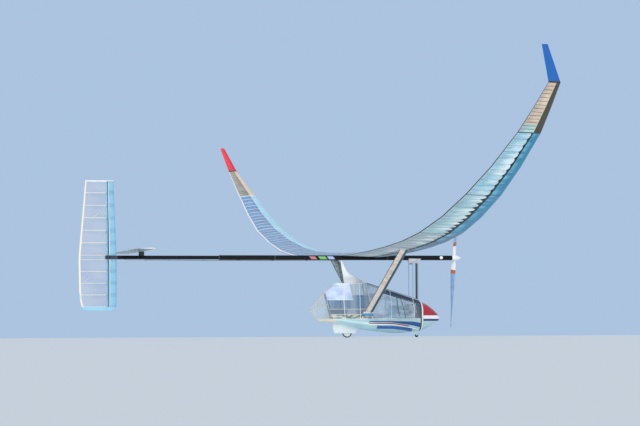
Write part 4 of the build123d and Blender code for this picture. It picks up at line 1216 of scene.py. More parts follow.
finishes.update({
    "boomCarbon": makeBoomCarbon(),
    "hullShell": makeHullShell(),
    "noseShell": makeNoseShell(),
    "cabinFilm": makeCabinFilm(),
    "frontFilm": makeFrontFilm(),
    "spineFilm": makePodFilm("spineFilm", paint(58, 74, 104), 0.86, 0.15),
    "tailFilm": makePodFilm("tailFilm", paint(206, 220, 224), 0.16, 0.25),
    "hoopFoam": makeFoam("hoopFoam", paint(236, 240, 242), 240.0),
    "ringFoam": makeFoam("ringFoam", paint(62, 68, 80), 240.0),
    "panelFoam": makePanelFoam(),
    "finFoam": makeFoam("finFoam", paint(158, 214, 242), 230.0),
    "planeFoam": makeFoam("planeFoam", paint(214, 222, 222), 230.0),
    "fairingFoam": makeShaded("fairingFoam", patchyPale(paint(248, 250, 250), paint(232, 238, 240), 6.0),
                              0.25, 5.0, 0.4),
    "gearboxShell": makeShaded("gearboxShell", patchyPale(paint(196, 202, 206), paint(172, 180, 186), 9.0),
                               0.4, 12.0, 0.4),
    "wheelFairing": makeShaded("wheelFairing", patchyPale(paint(214, 228, 232), paint(232, 238, 238), 7.0),
                               0.35, 6.0, 0.35),
    "blade": makeBlade(),
    "strutSkin": makeShaded("strutSkin", strutColour, 0.3, 5.0, 0.4),
    "strutFoot": makeShaded("strutFoot", footColour, 0.3, 9.0, 0.4),
})


def makeSeatNet():
    material, shader, place = newMaterial("seatNet", 0.8)
    turned = newNode("ShaderNodeMapping")
    feed(turned.inputs["Vector"], place)
    turned.inputs["Rotation"].default_value = (math.radians(90), 0, 0)
    net = useEffect("netting", Vector=turned.outputs[0], Threads=45.0, Width=0.4)
    feed(shader["Base Color"], blendColour(net["Mask"], paint(30, 32, 36), paint(60, 66, 74)))
    feed(shader["Alpha"], net["Mask"])
    addBump(shader, net["Height"], 0.4, 0.001)
    return material


finishes["seatNet"] = makeSeatNet()
print("pod finishes ready")


# Smooth pieces that stand for the CAD's flats

# Rows with more rows between them, on a smooth curve through all of them.
def smoothRows(rows, count):
    result = []
    for i in range(len(rows) - 1):
        before, after = rows[max(i - 1, 0)], rows[min(i + 2, len(rows) - 1)]
        low, high = rows[i], rows[i + 1]
        for k in range(count):
            s = k / count
            result.append(tuple(
                (2 * s**3 - 3 * s**2 + 1) * b + (3 * s**2 - 2 * s**3) * c
                + (s**3 - 2 * s**2 + s) * (c - a) / 2 + (s**3 - s**2) * (d - b) / 2
                for a, b, c, d in zip(before, low, high, after)))
    return result + [tuple(rows[-1])]


def solidPiece(name, rings, finish, body="airframe"):
    points, faces = lofted(rings, ringClosed=True, capped=True)
    return pieceFrom(name, points, faces, finishes[finish], body=body, closed=True)


def ringOf(station, outline):
    return [placedPoint(station, point) for point in outline]


def wholeOutline(curve):
    points = joinedPoints(curve["nose"], curve["upper"], curve["rear"], curve["lower"], curve["front"])
    return points[:-1] if math.dist(points[0], points[-1]) < samePoint else points


wingOutline = wholeOutline(wingCurve(8, 10, 6))
evenOutline = wholeOutline(evenCurve(8, 8))


def uprightStation(x, z, chord, thickness):
    return Vector((x, 0, z)), Vector((-chord, 0, 0)), Vector((0, thickness, 0))


def makeWinglets():
    tip = wing["rows"][-1]
    y, z, x, chord, lean = wing["winglet"]
    for word, side in sides:
        up = Vector((0, -math.sin(math.radians(lean)) * side, math.cos(math.radians(lean)))) * chord
        stations = [wingStation(tip, tip, 0, side, wing["mitre"]),
                    (Vector((x, y * side, z)), Vector((-chord, 0, 0)), up)]
        rings = [ringOf(stationAlong(stations, i / 6), wingOutline) for i in range(7)]
        finish = "wingletRed" if side > 0 else "wingletBlue"
        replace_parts(solidPiece(f"winglet.{word}", rings, finish), f"winglet_{word}")
        tall, thick = wing["wingletBand"]
        band = [ringOf(stationAlong(stations, share), grownPoints(wingOutline, thick, True))
                for share in (0.0, tall)]
        solidPiece(f"wingletJoint.{word}", band, "nylonBlack")


strut = {
    "chord": 195,
    "thickness": 48,
    "foot": (-35, 318, -1262),    # of the leading edge
    "headX": 25,
    "headY": 3300,
    "intoWing": 25,
}


# Z of the wing's lower surface in line with a point near the strut's head.
def lowerSkinZ(point, side):
    low, high = wing["rows"][1], wing["rows"][2]
    share = (abs(point.y) - low[1]) / (high[1] - low[1])
    start, along, up = stationAlong(panelStations(low, high, side), min(max(share, 0), 1))
    reach = (start.x - point.x) / -along.x
    box = wing["boxShare"]
    if reach > box:
        height = between(-0.024, -0.001, (reach - box) / (1 - box))
    else:
        height = between(-0.026, -0.024, reach / box)
    return start.z + up.z * height


def makeStruts():
    low, high = wing["rows"][1], wing["rows"][2]
    share = (strut["headY"] - low[1]) / (high[1] - low[1])
    for word, side in sides:
        foot = Vector((strut["foot"][0], strut["foot"][1] * side, strut["foot"][2]))
        headZ = bentHeight(low, high, share) + strut["intoWing"]
        head = Vector((strut["headX"], strut["headY"] * side, headZ))
        along = (head - foot).normalized()
        aft = (Vector((-1, 0, 0)) - along * Vector((-1, 0, 0)).dot(along)).normalized()
        up = aft.cross(along)
        ends = [(end, aft * strut["chord"], up * strut["thickness"]) for end in (foot, head)]
        rings = [ringOf(stationAlong(ends, i / 8), evenOutline) for i in range(9)]
        top = []
        for point in rings[-1]:
            for _ in range(6):
                point = point + along * ((lowerSkinZ(point, side) - wing["proud"] - point.z) / along.z)
            top.append(point)
        rings[-1] = top
        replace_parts(solidPiece(f"strut.{word}", rings, "strutSkin"), f"strut_{word}")


hull = {
    "deck": -1412,
    "rows": [(-1230, 26, -1444), (-760, 150, -1513), (-300, 235, -1629), (165, 280, -1691),
             (632, 285, -1730), (1130, 236, -1684)],    # x, half width, z of the keel
    "wall": 10,
    "bilge": 0.78,    # how high the round bottom comes up, as a share of the half width
    "wheelRoom": (-557, 123, 29, -1500),    # x of its middle, half length, half width, top
    "sternWall": -1185,    # the hollow starts ahead of this x
}


def hullRing(row, grow, top, count=18):
    x, half, keel = row[0], row[1] + grow, row[2] - grow
    side = keel + min(hull["bilge"] * half, 0.92 * (top - keel))
    bilge = arcThrough((-half, side), (0, keel), (half, side), count)
    return [Vector((x, -half, top))] + [Vector((x, y, z)) for y, z in bilge] + [Vector((x, half, top))]


def makeHull():
    rows = smoothRows(hull["rows"], 6)
    outer = [hullRing(row, 0, hull["deck"]) for row in rows]
    inner = [hullRing(row, -hull["wall"], hull["deck"]) for row in rows if row[0] > hull["sternWall"]]
    points, faces = lofted([a + b[::-1] for a, b in zip(outer[-len(inner):], inner)], ringClosed=True)
    width, base = len(outer[0]), len(points)
    size = 2 * width
    stern = outer[:-len(inner) + 1]
    points += [p for ring in stern for p in ring]
    for i in range(len(stern) - 1):
        faces += [(base + i * width + j, base + i * width + j + 1, base + (i + 1) * width + j + 1,
                   base + (i + 1) * width + j) for j in range(width - 1)]
        faces.append((base + i * width, base + (i + 1) * width, base + (i + 2) * width - 1,
                      base + (i + 1) * width - 1))
    faces.append(tuple(range(base, base + width)))
    faces.append(tuple(range(width, 2 * width)))
    faces.append(tuple(range((len(inner) - 1) * size, len(inner) * size)))
    middle, length, half, top = hull["wheelRoom"]
    kept = []
    for face in faces:
        centre = sum((points[k] for k in face), Vector()) / len(face)
        if not (abs(centre.x - middle) < length and abs(centre.y) < half and centre.z < top):
            kept.append(face)
    shell = pieceFrom("hullShell", points, kept, finishes["hullShell"], closed=True, smooth=40)
    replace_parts(shell, "hull")


nose = {
    "rows": [(1165, 230, -1004, -1680), (1325, 205, -1070, -1622), (1488, 150, -1190, -1548),
             (1590, 90, -1295, -1480), (1645, 30, -1372, -1412)],    # x, half width, top, bottom
    "wall": 8,
    "tip": (1652, 12, -1384, -1400),
    "solidBelow": 60,    # no hollow where the half width is less
}


def ovalRing(x, half, top, bottom, count=14):
    bulge = min(0.85 * half, 0.49 * (top - bottom))
    high, low = top - bulge, bottom + bulge
    over = arcThrough((-half, high), (0, top), (half, high), count)
    under = arcThrough((half, low), (0, bottom), (-half, low), count)
    return [Vector((x, y, z)) for y, z in over + under]


def makeNoseCone():
    rows = smoothRows(nose["rows"], 5)
    rows.append(nose["tip"])
    wall = nose["wall"]
    outer = [ovalRing(*row) for row in rows]
    inner = [ovalRing(x, half - wall, top - wall, bottom + wall)
             for x, half, top, bottom in rows if half > nose["solidBelow"]]
    points, faces = lofted([*outer[::-1], *inner], ringClosed=True, capped=True)
    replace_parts(pieceFrom("noseCone", points, faces, finishes["noseShell"], closed=True), "nose_cone")


fairing = {
    "rows": [(-75, -663, 44, 34), (-323, -525, 146, 50), (-422, -363, 300, 60),
             (-575, -131, 505, 84)],    # z, x of the leading edge, chord, thickness
    "back": ((-711, -50), (-621, -586)),    # the slanted plane just ahead of the ladder, x and z
}


def makeRearFairing():
    (x0, z0), (x1, z1) = fairing["back"]
    rings = []
    for z, x, chord, thickness in smoothRows(fairing["rows"], 6):
        back = x0 + (x1 - x0) * (z - z0) / (z1 - z0)
        ring = ringOf(uprightStation(x, z, chord, thickness), evenOutline)
        rings.append([Vector((max(p.x, back), p.y, p.z)) for p in ring])
    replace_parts(solidPiece("rearFairing", rings, "fairingFoam"), "rear_pylon_fairing")


# A turned shape; the profile is a closed line of (along, radius) points.
def turnedPiece(name, profile, place, axis, finish, body):
    rings, count = [], 48
    for i in range(count):
        turn = 2 * math.pi * i / count
        if axis == "X":
            ring = [Vector((place[0] + a, place[1] + r * math.cos(turn), place[2] + r * math.sin(turn)))
                    for a, r in profile]
        else:
            ring = [Vector((place[0] + r * math.cos(turn), place[1] + a, place[2] + r * math.sin(turn)))
                    for a, r in profile]
        rings.append(ring)
    size = len(profile)
    points = [p for ring in rings for p in ring]
    faces = []
    for i in range(count):
        k = (i + 1) % count
        for j in range(size):
            n = (j + 1) % size
            faces.append((i * size + j, i * size + n, k * size + n, k * size + j))
    return pieceFrom(name, points, faces, finishes[finish], body=body, closed=True)


wheels = {
    "main": (-557, 0, -1715),
    "mainRadius": 115,
    "section": 30,
    "rim": [(-11, 82), (-11, 90), (-8, 90), (0, 85.5), (8, 90), (11, 90), (11, 82), (4, 80), (3, 70), (3, 30),
            (8, 20), (19, 20), (19, 6.5), (-19, 6.5), (-19, 20), (-8, 20), (-3, 30), (-3, 70), (-4, 80)],
    "nose": (1098, 0, -1790),
    "roller": [(-9, 34), (-7.5, 38), (-4.5, 40), (4.5, 40), (7.5, 38), (9, 34), (9, 12), (7, 10), (7, 4.5),
               (-7, 4.5), (-7, 10), (-9, 12)],    # outlines are (along the axle, radius)
}


def makeWheels():
    half, middle = wheels["section"] / 2, wheels["mainRadius"] - wheels["section"] / 2
    tyre = [(half * math.sin(a), middle + half * math.cos(a))
            for a in (2 * math.pi * i / 20 for i in range(20))]
    for name, profile, place, finish, body, node in (
            ("mainTyre", tyre, wheels["main"], "wornRubber", "main_wheel", "main_tyre"),
            ("mainRim", wheels["rim"], wheels["main"], "wheelDisc", "main_wheel", "main_rim"),
            ("noseWheel", wheels["roller"], wheels["nose"], "wornRubber", "nose_wheel", "nose_wheel")):
        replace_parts(turnedPiece(name, profile, place, "Y", finish, body), node)


propeller = {
    "x": 2022,
    "lean": 12,
    "axisShare": 0.35,
    "hub": (1960, 118, 55),    # x, length, radius
    "rows": [(30, 56, 0.80, 60), (80, 62, 0.70, 60), (120, 96, 0.42, 58), (265, 116, 0.24, 54),
             (470, 122, 0.16, 46), (900, 97, 0.11, 29), (1350, 46, 0.10, 20),
             (1640, 20, 0.10, 17)],    # radius, chord, thickness as a share of it, pitch
}


def bladeStation(row, side):
    radius, chord, thick, pitch = row
    out = Vector((0, 0, side))
    travel = Vector((-1, 0, 0)).cross(out)
    beta = math.radians(pitch)
    lead = travel * math.cos(beta) + Vector((math.sin(beta), 0, 0))
    up = Vector((math.cos(beta), 0, 0)) - travel * math.sin(beta)
    start = Vector((propeller["x"], 0, 0)) + out * radius + lead * (propeller["axisShare"] * chord)
    return start, lead * -chord, up * (chord * thick)


def makePropeller():
    lean = Matrix.Rotation(math.radians(propeller["lean"]), 3, "X")
    for word, side in (("upper", 1), ("lower", -1)):
        rings = [[lean @ p for p in ringOf(bladeStation(row, side), evenOutline)]
                 for row in smoothRows(propeller["rows"], 5)]
        solidPiece(f"blade.{word}", rings, "blade", "propeller")
    start, length, radius = propeller["hub"]
    hub = [(0, 18), (0, 50), (4, radius), (length - 2, radius), (length, radius - 2), (length, 6)]
    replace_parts(turnedPiece("propellerHub", hub, (start, 0, 0), "X", "spinnerWhite", "propeller"),
                "propeller")
    curve = arcThrough((0, 55), (41, 38), (98, 5), 14)
    spinner = [(0, 4)] + curve + [(98.5, 0.5)]
    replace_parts(turnedPiece("spinnerCap", spinner, (start + length, 0, 0), "X", "spinnerWhite", "propeller"),
                "spinner")


makeWinglets()
makeStruts()
makeHull()
makeNoseCone()
makeRearFairing()
makeWheels()
makePropeller()
print("smooth pieces ready")


# Repeated parts by Geometry Nodes: one small part set at every point of a cloud

# Sets a part, turned by the stored direction, on every point; sizes come in by name.
def spreadTree(name):
    tree, given, result = newGroup(name, [
        ("Points", "Geometry", None), ("Part", "Object", None), ("Size", "Float", None),
        ("Uneven", "Float", None), ("Seed", "Int", None), ("Finish", "Material", None)],
        [("Geometry", "Geometry")], "GeometryNodeTree")
    part = newNode("GeometryNodeObjectInfo")
    feed(part.inputs["Object"], given["Part"])
    turns = []
    for label in ("out", "along"):
        stored = newNode("GeometryNodeInputNamedAttribute")
        stored.data_type = "FLOAT_VECTOR"
        stored.inputs["Name"].default_value = label
        turns.append(stored.outputs["Attribute"])
    stand = newNode("FunctionNodeAxesToRotation")
    stand.primary_axis, stand.secondary_axis = "Z", "X"
    feed(stand.inputs["Primary Axis"], turns[0])
    feed(stand.inputs["Secondary Axis"], turns[1])
    spin = newNode("FunctionNodeRandomValue")
    spin.data_type = "FLOAT"
    feed(spin.inputs[2], given["Uneven"] * -1.0)
    feed(spin.inputs[3], given["Uneven"])
    feed(spin.inputs["Seed"], given["Seed"])
    aside = newNode("ShaderNodeCombineXYZ")
    feed(aside.inputs[2], spin.outputs[1])
    turned = newNode("FunctionNodeEulerToRotation")
    feed(turned.inputs[0], aside.outputs[0])
    both = newNode("FunctionNodeRotateRotation")
    both.rotation_space = "LOCAL"
    feed(both.inputs[0], stand.outputs[0])
    feed(both.inputs[1], turned.outputs[0])
    spread = newNode("GeometryNodeInstanceOnPoints")
    feed(spread.inputs["Points"], given["Points"])
    feed(spread.inputs["Instance"], part.outputs["Geometry"])
    feed(spread.inputs["Rotation"], both.outputs[0])
    feed(spread.inputs["Scale"], given["Size"])
    real = newNode("GeometryNodeRealizeInstances")
    feed(real.inputs[0], spread.outputs[0])
    painted = newNode("GeometryNodeSetMaterial")
    feed(painted.inputs["Geometry"], real.outputs[0])
    feed(painted.inputs["Material"], given["Finish"])
    feed(result[0], painted.outputs[0])
    return tree


partSpread = spreadTree("partSpread")


# places are (point, out, along); the part is a mesh whose Z points out and X along.
def spreadParts(name, part, places, finish, body="airframe", uneven=0.0, seed=3):
    cloud = bpy.data.meshes.new(name)
    cloud.from_pydata([Vector(p) / 1000 for p, _, _ in places], [], [])
    for index, label in ((1, "out"), (2, "along")):
        stored = cloud.attributes.new(label, "FLOAT_VECTOR", "POINT")
        stored.data.foreach_set("vector", [c for place in places for c in Vector(place[index])])
    holder = bpy.data.objects.new(name, cloud)
    bpy.context.scene.collection.objects.link(holder)
    bpy.context.scene.collection.objects.link(part)
    modifier = holder.modifiers.new("spread", "NODES")
    modifier.node_group = partSpread
    values = {"Part": part, "Size": 1.0, "Uneven": uneven, "Seed": seed, "Finish": finishes[finish]}
    for item in partSpread.interface.items_tree:
        if item.in_out == "INPUT" and item.name in values:
            modifier[item.identifier] = values[item.name]
    bpy.context.view_layer.update()
    plain = bpy.data.meshes.new_from_object(holder.evaluated_get(bpy.context.evaluated_depsgraph_get()))
    holder.modifiers.remove(modifier)
    holder.data = plain
    plain.polygons.foreach_set("use_smooth", [True] * len(plain.polygons))
    plain.set_sharp_from_angle(angle=math.radians(40))
    bpy.data.objects.remove(part)
    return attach(holder, body)


# A small part from closed prisms: each is a ring of (x, y) and the low and high z, in millimetres.
def partMesh(name, shapes):
    points, faces = [], []
    for ring, low, high in shapes:
        start, size = len(points), len(ring)
        points += [Vector((x, y, z)) / 1000 for z in (low, high) for x, y in ring]
        faces += [(start + i, start + (i + 1) % size, start + size + (i + 1) % size, start + size + i)
                  for i in range(size)]
        faces += [tuple(range(start, start + size))[::-1], tuple(range(start + size, start + 2 * size))]
    mesh = bpy.data.meshes.new(name)
    mesh.from_pydata(points, [], faces)
    work = bmesh.new()
    work.from_mesh(mesh)
    bmesh.ops.recalc_face_normals(work, faces=work.faces)
    work.to_mesh(mesh)
    work.free()
    return bpy.data.objects.new(name, mesh)


def roundRing(radius, count, x=0.0):
    angles = [2 * math.pi * i / count for i in range(count)]
    return [(x + radius * math.cos(a), radius * math.sin(a)) for a in angles]


drive = {
    "x": 980,
    "y": 38,
    "crankZ": -1240,
    "topZ": -108,
    "radius": 50,    # of the chain's path round the sprockets
    "pitch": 12.7,
    "plate": (18.3, 8.0, 1.1),    # length, height, thickness
    "plateShift": {"inner": 2.4, "outer": 3.6},
    "roller": (3.8, 4.4),    # radius, length
    "pin": (1.7, 9.2),
    "teeth": 24,
    "tooth": [(-4.2, 0), (4.2, 0), (1.6, 6.2), (-1.6, 6.2)],
    "toothFoot": 43.6,    # radius where the teeth start
    "toothHalf": 1.2,
}


# Middle and direction of every link along the loop.
def chainPlaces():
    straight = drive["topZ"] - drive["crankZ"]
    total = 2 * straight + 2 * math.pi * drive["radius"]
    count = 2 * round(total / drive["pitch"] / 2)
    places = []
    for i in range(count):
        s = i * total / count
        if s < straight:
            point, along = (drive["radius"], s), (0, 1)
        elif s < straight + math.pi * drive["radius"]:
            a = (s - straight) / drive["radius"]
            point = (drive["radius"] * math.cos(a), straight + drive["radius"] * math.sin(a))
            along = (-math.sin(a), math.cos(a))
        elif s < 2 * straight + math.pi * drive["radius"]:
            point, along = (-drive["radius"], straight - (s - straight - math.pi * drive["radius"])), (0, -1)
        else:
            a = (s - 2 * straight) / drive["radius"]
            point = (drive["radius"] * math.cos(a), drive["radius"] * math.sin(a))
            along = (-math.sin(a), math.cos(a))
        places.append((Vector((drive["x"] + point[0], drive["y"], drive["crankZ"] + point[1])),
                       Vector((0, 1, 0)), Vector((along[0], 0, along[1]))))
    return places


def linkRing(length, height):
    half, r = length / 2 - height / 2, height / 2
    return ([(half + r * math.cos(a), r * math.sin(a)) for a in (-1.2, -0.4, 0.4, 1.2)]
            + [(-half - r * math.cos(a), r * math.sin(a)) for a in (1.2, 0.4, -0.4, -1.2)])


def makeChain():
    places = chainPlaces()
    length, height, thick = drive["plate"]
    halves = []
    for start, (word, bar, corners) in enumerate((("inner", "roller", 8), ("outer", "pin", 6))):
        radius, long = drive[bar]
        shift = drive["plateShift"][word]
        plates = [(linkRing(length, height), side * shift - thick / 2, side * shift + thick / 2)
                  for side in (1, -1)]
        bars = [(roundRing(radius, corners, x=x), -long / 2, long / 2)
                for x in (-drive["pitch"] / 2, drive["pitch"] / 2)]
        part = partMesh(f"link.{word}", plates + bars)
        halves.append(spreadParts(f"chainLinks.{word}", part, places[start::2], "oiledSteel"))
    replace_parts(halves[0], "chain")
    for name, z, body in (("crankTeeth", drive["crankZ"], "crank"), ("topTeeth", drive["topZ"], "airframe")):
        tooth = partMesh("tooth", [(drive["tooth"], -drive["toothHalf"], drive["toothHalf"])])
        ring = []
        for i in range(drive["teeth"]):
            a = 2 * math.pi * (i + 0.5) / drive["teeth"]
            out = Vector((math.cos(a), 0, math.sin(a)))
            ring.append((Vector((drive["x"], drive["y"], z)) + out * drive["toothFoot"], Vector((0, 1, 0)),
                         out.cross(Vector((0, 1, 0))) * -1))
        spreadParts(name, tooth, ring, "oiledSteel", body)


screws = {
    "gearbox": [(925, -30), (1185, -30), (925, -112), (1115, -112), (1050, -30)],    # x and z
    "gearboxHalf": 52,
    "clamp": [(1040, -1262), (1040, -1218)],    # of the crank's bracket; the left one sits higher
    "clampHalf": 13,
    "clampStep": 6,
    "collar": [-935, -865],    # x of the two rows round the boom
    "collarRadius": 56,
    "collarCount": 8,
    "nutHalf": 34,    # the axle's nuts on either side of the main wheel
    "head": (4.4, 2.2),    # radius of the head and of its socket
    "nut": (6.4, 3.0),    # radius of the nut and of the thread
}


def sideways(x, y, z):
    return Vector((x, y, z)), Vector((0, math.copysign(1, y), 0)), Vector((1, 0, 0))


# Screws of the gearbox, of the crank bracket's clamp and of the boom's collar.
def screwPlaces():
    half = screws["gearboxHalf"]
    places = [sideways(x, y, z) for x, z in screws["gearbox"] for y in (-half, half)]
    half = screws["clampHalf"]
    for x, z in screws["clamp"]:
        places += [sideways(x, -half, z + screws["clampStep"]), sideways(x, half, z)]
    for x in screws["collar"]:
        for i in range(screws["collarCount"]):
            a = 2 * math.pi * (i + 0.5) / screws["collarCount"]
            out = Vector((0, math.cos(a), math.sin(a)))
            places.append((Vector((x, 0, 0)) + out * screws["collarRadius"], out, Vector((1, 0, 0))))
    return places


def makeScrews():
    outer, inner = screws["head"]
    head = partMesh("screw", [(roundRing(outer, 10), -0.6, 2.2), (roundRing(inner, 6), 2.2, 2.7)])
    spreadParts("screws", head, screwPlaces(), "machinedAlloy", uneven=0.6)
    outer, inner = screws["nut"]
    nut = partMesh("nut", [(roundRing(outer, 6), -1, 5), (roundRing(inner, 8), 5, 7.5)])
    x, _, z = wheels["main"]
    places = [sideways(x, y, z) for y in (-screws["nutHalf"], screws["nutHalf"])]
    spreadParts("axleNuts", nut, places, "machinedAlloy", uneven=0.4, seed=8)


# Rods, lines and tapes

# A round rod along a path of points, closed at both ends.
def rodParts(path, radius, count=8):
    rings, points = [], [Vector(p) for p in path]
    for i, point in enumerate(points):
        along = (points[min(i + 1, len(points) - 1)] - points[max(i - 1, 0)]).normalized()
        aside = along.cross(Vector((0, 0, 1)) if abs(along.z) < 0.9 else Vector((1, 0, 0))).normalized()
        other = along.cross(aside)
        rings.append([point + aside * (radius * math.cos(a)) + other * (radius * math.sin(a))
                      for a in (2 * math.pi * k / count for k in range(count))])
    return lofted(rings, ringClosed=True, capped=True)


def joinedPiece(name, parts, finish, body="airframe"):
    points, faces = [], []
    for more, moreFaces in parts:
        faces += [tuple(k + len(points) for k in face) for face in moreFaces]
        points += more
    return pieceFrom(name, points, faces, finishes[finish], body=body, smooth=40, closed=True)


# A flat strip along a path; out is the direction its face looks.
def tapeParts(path, out, width, thickness=1.2):
    rings, points, out = [], [Vector(p) for p in path], Vector(out).normalized()
    for i, point in enumerate(points):
        along = (points[min(i + 1, len(points) - 1)] - points[max(i - 1, 0)]).normalized()
        aside = along.cross(out).normalized() * (width / 2)
        face = out * thickness
        rings.append([point - aside, point + aside, point + aside + face, point - aside + face])
    return lofted(rings, ringClosed=True, capped=True)


cabin = {    # a row is x, z and half width at the deck, and the same at the roof
    "rows": [(-928, -1412, 112, -1087, -793, 88), (-760, -1412, 150, -830, -588, 112),
             (-300, -1412, 235, -300, -583, 150), (-10, -1412, 264, -130, -578, 150),
             (430, -1412, 284, 430, -742, 118), (1130, -1412, 236, 1130, -962, 92)],
    "tailRows": [(-1277, -1412, 24, -1227, -964, 60), (-1412, -1225, 14, -1412, -1165, 14)],
    "shoulder": 0.58,    # its height, as a share of the way up
    "shoulderWidth": 0.93,    # as a share of the width at the deck
    "posts": (-640, -300, -20, 430, 980),
}


def cabinCorners(row, side, grow=1.5):
    x0, z0, half0, x1, z1, half1 = row
    corners = []
    for share, half in ((0, half0), (cabin["shoulder"], half0 * cabin["shoulderWidth"]), (1, half1)):
        corners.append(Vector((between(x0, x1, share), (half + grow) * side, between(z0, z1, share))))
    return corners


def cabinRowAt(x):
    rows = cabin["rows"]
    for low, high in zip(rows, rows[1:]):
        if low[0] <= x <= high[0]:
            return tuple(between(a, b, (x - low[0]) / (high[0] - low[0])) for a, b in zip(low, high))
    return rows[-1]


# Tapes over the film's edges: along the deck, the roof and the shoulder, and up the posts.
def makeCabinTapes():
    white, cream, dark = [], [], []
    for _, side in sides:
        rows = [cabinCorners(row, side) for row in cabin["rows"]]
        aft = [cabinCorners(row, side) for row in [cabin["rows"][0]] + cabin["tailRows"]]
        out = (0, side, 0)
        white.append(tapeParts([row[0] + Vector((0, 0, 7)) for row in rows], out, 16))
        white.append(tapeParts([row[2] - Vector((0, 0, 6)) for row in rows[1:4]], out, 20))
        dark.append(tapeParts([row[2] - Vector((0, 0, 3)) for row in rows[3:]], out, 12))
        cream.append(tapeParts([row[0] + Vector((0, 0, 7)) for row in aft], out, 14))
        cream.append(tapeParts([row[2] for row in aft], out, 14))
        cream.append(tapeParts([row[1] for row in aft], out, 9))
        cream.append(tapeParts([row[2] - Vector((0, 0, 4)) for row in rows[:2]], out, 14))
        for x in cabin["posts"]:
            row = cabinCorners(cabinRowAt(x), side, 1.8)
            white.append(tapeParts(row, out, 14 if x < 0 else 9))
    joinedPiece("cabinTapeWhite", white, "tapeWhite")
    joinedPiece("cabinTapeCream", cream, "creamFoam")
    joinedPiece("cabinTapeDark", dark, "carbonTube")


seat = {
    "line": [(330, -1497), (75, -1560), (-60, -1500), (-322, -985)],    # x and z, front to back
    "bend": 70,
    "width": 330,
    "rail": 7,    # radius
    "sink": 10,    # how far the net sags
}


# The seat's line with its two corners rounded.
def seatCurve(count=6):
    points = [Vector((x, 0, z)) for x, z in seat["line"]]
    path = [points[0]]
    for i in (1, 2):
        before, here, after = points[i - 1], points[i], points[i + 1]
        one, two = (before - here).normalized(), (after - here).normalized()
        reach = seat["bend"] / math.tan(one.angle(two) / 2)
        start, end = here + one * reach, here + two * reach
        path += [start.lerp(here, s).lerp(here.lerp(end, s), s)
                 for s in (k / count for k in range(count + 1))]
    path.append(points[-1])
    fine = []
    for one, two in zip(path, path[1:]):
        steps = max(1, round((two - one).length / 30))
        fine += [one.lerp(two, k / steps) for k in range(steps)]
    return fine + [path[-1]]


def makeSeat():
    path = seatCurve()
    half = seat["width"] / 2
    inset = half - seat["rail"]
    rails = [rodParts([p + Vector((0, inset * side, 0)) for p in path], seat["rail"]) for side in (1, -1)]
    rails += [rodParts([end + Vector((0, y, 0)) for y in (-inset, inset)], seat["rail"])
              for end in (path[0], path[-1])]
    frame = joinedPiece("seatRails", rails, "carbonTube")
    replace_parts(frame, "seat")
    reach = inset - 1
    rows, uvs, run = [], [], 0.0
    for i, point in enumerate(path):
        run += (point - path[i - 1]).length if i else 0
        ring = []
        for k in range(13):
            across = -1 + k / 6
            sink = seat["sink"] * (1 - across * across) * math.sin(math.pi * i / (len(path) - 1))
            ring.append(point + Vector((sink * 0.4, across * reach, -sink * 0.6)))
            uvs.append((across * reach / 1000, run / 1000))
        rows.append(ring)
    points, faces = lofted(rows)
    net = pieceFrom("seatNet", points, faces, finishes["seatNet"], uvs=uvs)
    2 * reach / 1000
    run / 1000 * 1.002


lines = {
    "half": 46,    # the lines run this far to each side of the boom's middle
    "radius": 1.6,
    "guides": (-1500, -2300, -3100, -3900, -4700, -5240),
    "strandHalf": 16,    # the two strands beside the front pylon
    "strandRadius": 3.0,
}


# Control lines from the pod to the tail, their guides, and the strands beside the front pylon.
def makeLines():
    drawn, guides = [], []
    for y in (-lines["half"], lines["half"]):
        toTailplane = [(-640, y * 0.4, -590), (-760, y, -66), (-3500, y, -62), (-5240, y, -50)]
        toRudder = [(-760, y, -66), (-3500, y * 1.05, -70), (-5640, y * 1.1, -60), (-5790, y * 0.5, -28)]
        drawn += [rodParts(path, lines["radius"], 6) for path in (toTailplane, toRudder)]
    for y in (-lines["strandHalf"], lines["strandHalf"]):
        drawn.append(rodParts([(1135, y, -1000), (1135, y, -70)], lines["strandRadius"], 6))
    joinedPiece("controlLines", drawn, "nylonBlack")
    for x in lines["guides"]:
        for y in (-lines["half"], lines["half"]):
            guides.append(rodParts([(x - 9, y, -60), (x + 9, y, -60)], 5.5))
    joinedPiece("lineGuides", guides, "nylonBlack")


finBraces = {
    "paths": [((-6640, 1560), (-6440, 1300)), ((-6330, 1130), (-6200, 950)), ((-6060, 1130), (-6190, 950)),
              ((-6420, 900), (-6240, 1060)), ((-6640, -560), (-6440, -420)), ((-6560, -360), (-6700, -520))],
    "radius": 7,
    "cap": ((-26, 0.0035), (0, 0.0045), (6, 0.003)),    # height over the cap's foot, and growth by the chord
}


# White diagonal braces inside the fin, and the white cap on its top.
def makeFinBraces():
    braces = [rodParts([(x0, 0, z0), (x1, 0, z1)], finBraces["radius"])
              for (x0, z0), (x1, z1) in finBraces["paths"]]
    joinedPiece("finBraces", braces, "whiteFoam", "rudder")
    top = tail["finRows"][-1]
    low = uprightStation(top[1], top[0] - 6, top[2], top[2] * tail["finThickness"])
    rings = [[p + Vector((0, 0, z)) for p in ringOf(low, grownPoints(evenOutline, grow, True))]
             for z, grow in finBraces["cap"]]
    solidPiece("finCap", rings, "tapeWhite", "rudder")


makeChain()
makeScrews()
makeCabinTapes()
makeSeat()
makeLines()
makeFinBraces()
print("details ready")

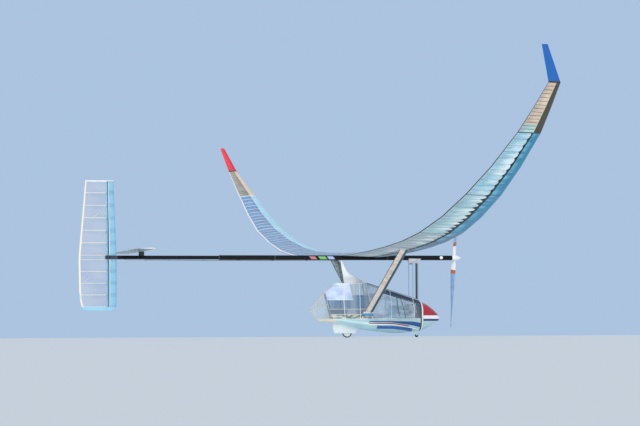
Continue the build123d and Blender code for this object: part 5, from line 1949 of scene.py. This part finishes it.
# Finishes of the pieces that keep their own shape
nodeFinish = {
    "boom_front": "boomCarbon", "boom_middle": "boomCarbon", "boom_rear": "boomCarbon",
    "boom_sleeves": "carbonTube", "nose_bearing": "machinedAlloy", "front_hoop": "carbonTube",
    "main_hoop": "hoopFoam", "rear_hoop": "carbonTube", "tail_frame": "creamFoam", "hull": "hullShell",
    "nose_cone": "noseShell", "nose_ring": "ringFoam", "quarter_panels": "panelFoam",
    "cabin_roof": "panelFoam", "cabin_windows": "cabinFilm", "front_windows": "frontFilm",
    "top_spine": "spineFilm",
    "tail_window": "tailFilm", "rear_pylon_ladder": "carbonTube", "rear_pylon_fairing": "fairingFoam",
    "front_pylon": "carbonTube", "gearbox": "gearboxShell", "seat_bars": "carbonTube", "seat": "seatNet",
    "crank_bracket": "machinedAlloy", "crank_axle": "oiledSteel", "crank_arms": "machinedAlloy",
    "pedal_left": "nylonBlack", "pedal_right": "nylonBlack", "chain": "oiledSteel",
    "top_sprocket": "oiledSteel", "main_tyre": "wornRubber", "main_rim": "wheelDisc",
    "main_wheel_fairing": "wheelFairing", "nose_wheel": "wornRubber", "nose_wheel_fairing": "wheelFairing",
    "wheel_axles": "machinedAlloy", "rudder": "finFoam", "rudder_block": "carbonTube",
    "stabilator": "planeFoam", "stabilator_pylon": "carbonTube", "propeller": "blade",
    "propeller_shaft": "oiledSteel", "spinner": "spinnerWhite", "strut_left": "strutSkin",
    "strut_right": "strutSkin", "strut_fittings": "strutFoot", "winglet_left": "wingletRed",
    "winglet_right": "wingletBlue",
}


def finishNodes():
    for name, node in nodes.items():
        finish = "wingFoam" if name.startswith("wing_") else nodeFinish[name]
        for slot in node.material_slots:
            slot.material = finishes[finish]


finishNodes()

# The slot in the record for each new piece's finish, by its first material; the pass below only looks each one
# up and sets nothing.
recordSlot = {
    "filmTop": "wing_skin", "noseSkinTopLit": "wing_skin", "finFilm": "clear_film", "finNoseSkin": "blue_foam",
    "tailplaneFilmTop": "clear_film", "tailplaneNoseSkin": "white_foam", "wingletRed": "winglet_red",
    "wingletBlue": "winglet_blue", "strutSkin": "strut_skin", "hullShell": "hull_shell",
    "noseShell": "nose_shell", "fairingFoam": "white_foam", "wornRubber": "rubber", "wheelDisc": "rim",
    "blade": "propeller_blue", "spinnerWhite": "white_foam", "oiledSteel": "steel",
    "machinedAlloy": "metal", "tapeWhite": "white_foam", "creamFoam": "white_foam",
    "whiteFoam": "white_foam", "carbonTube": "carbon", "nylonBlack": "carbon", "seatNet": "seat_net",
}


def namePieceSlots():
    for piece in bpy.context.scene.objects:
        if piece.type == "MESH" and piece.name not in nodes:
            first = next((material.name for material in piece.data.materials if material), None)
            first in recordSlot


namePieceSlots()
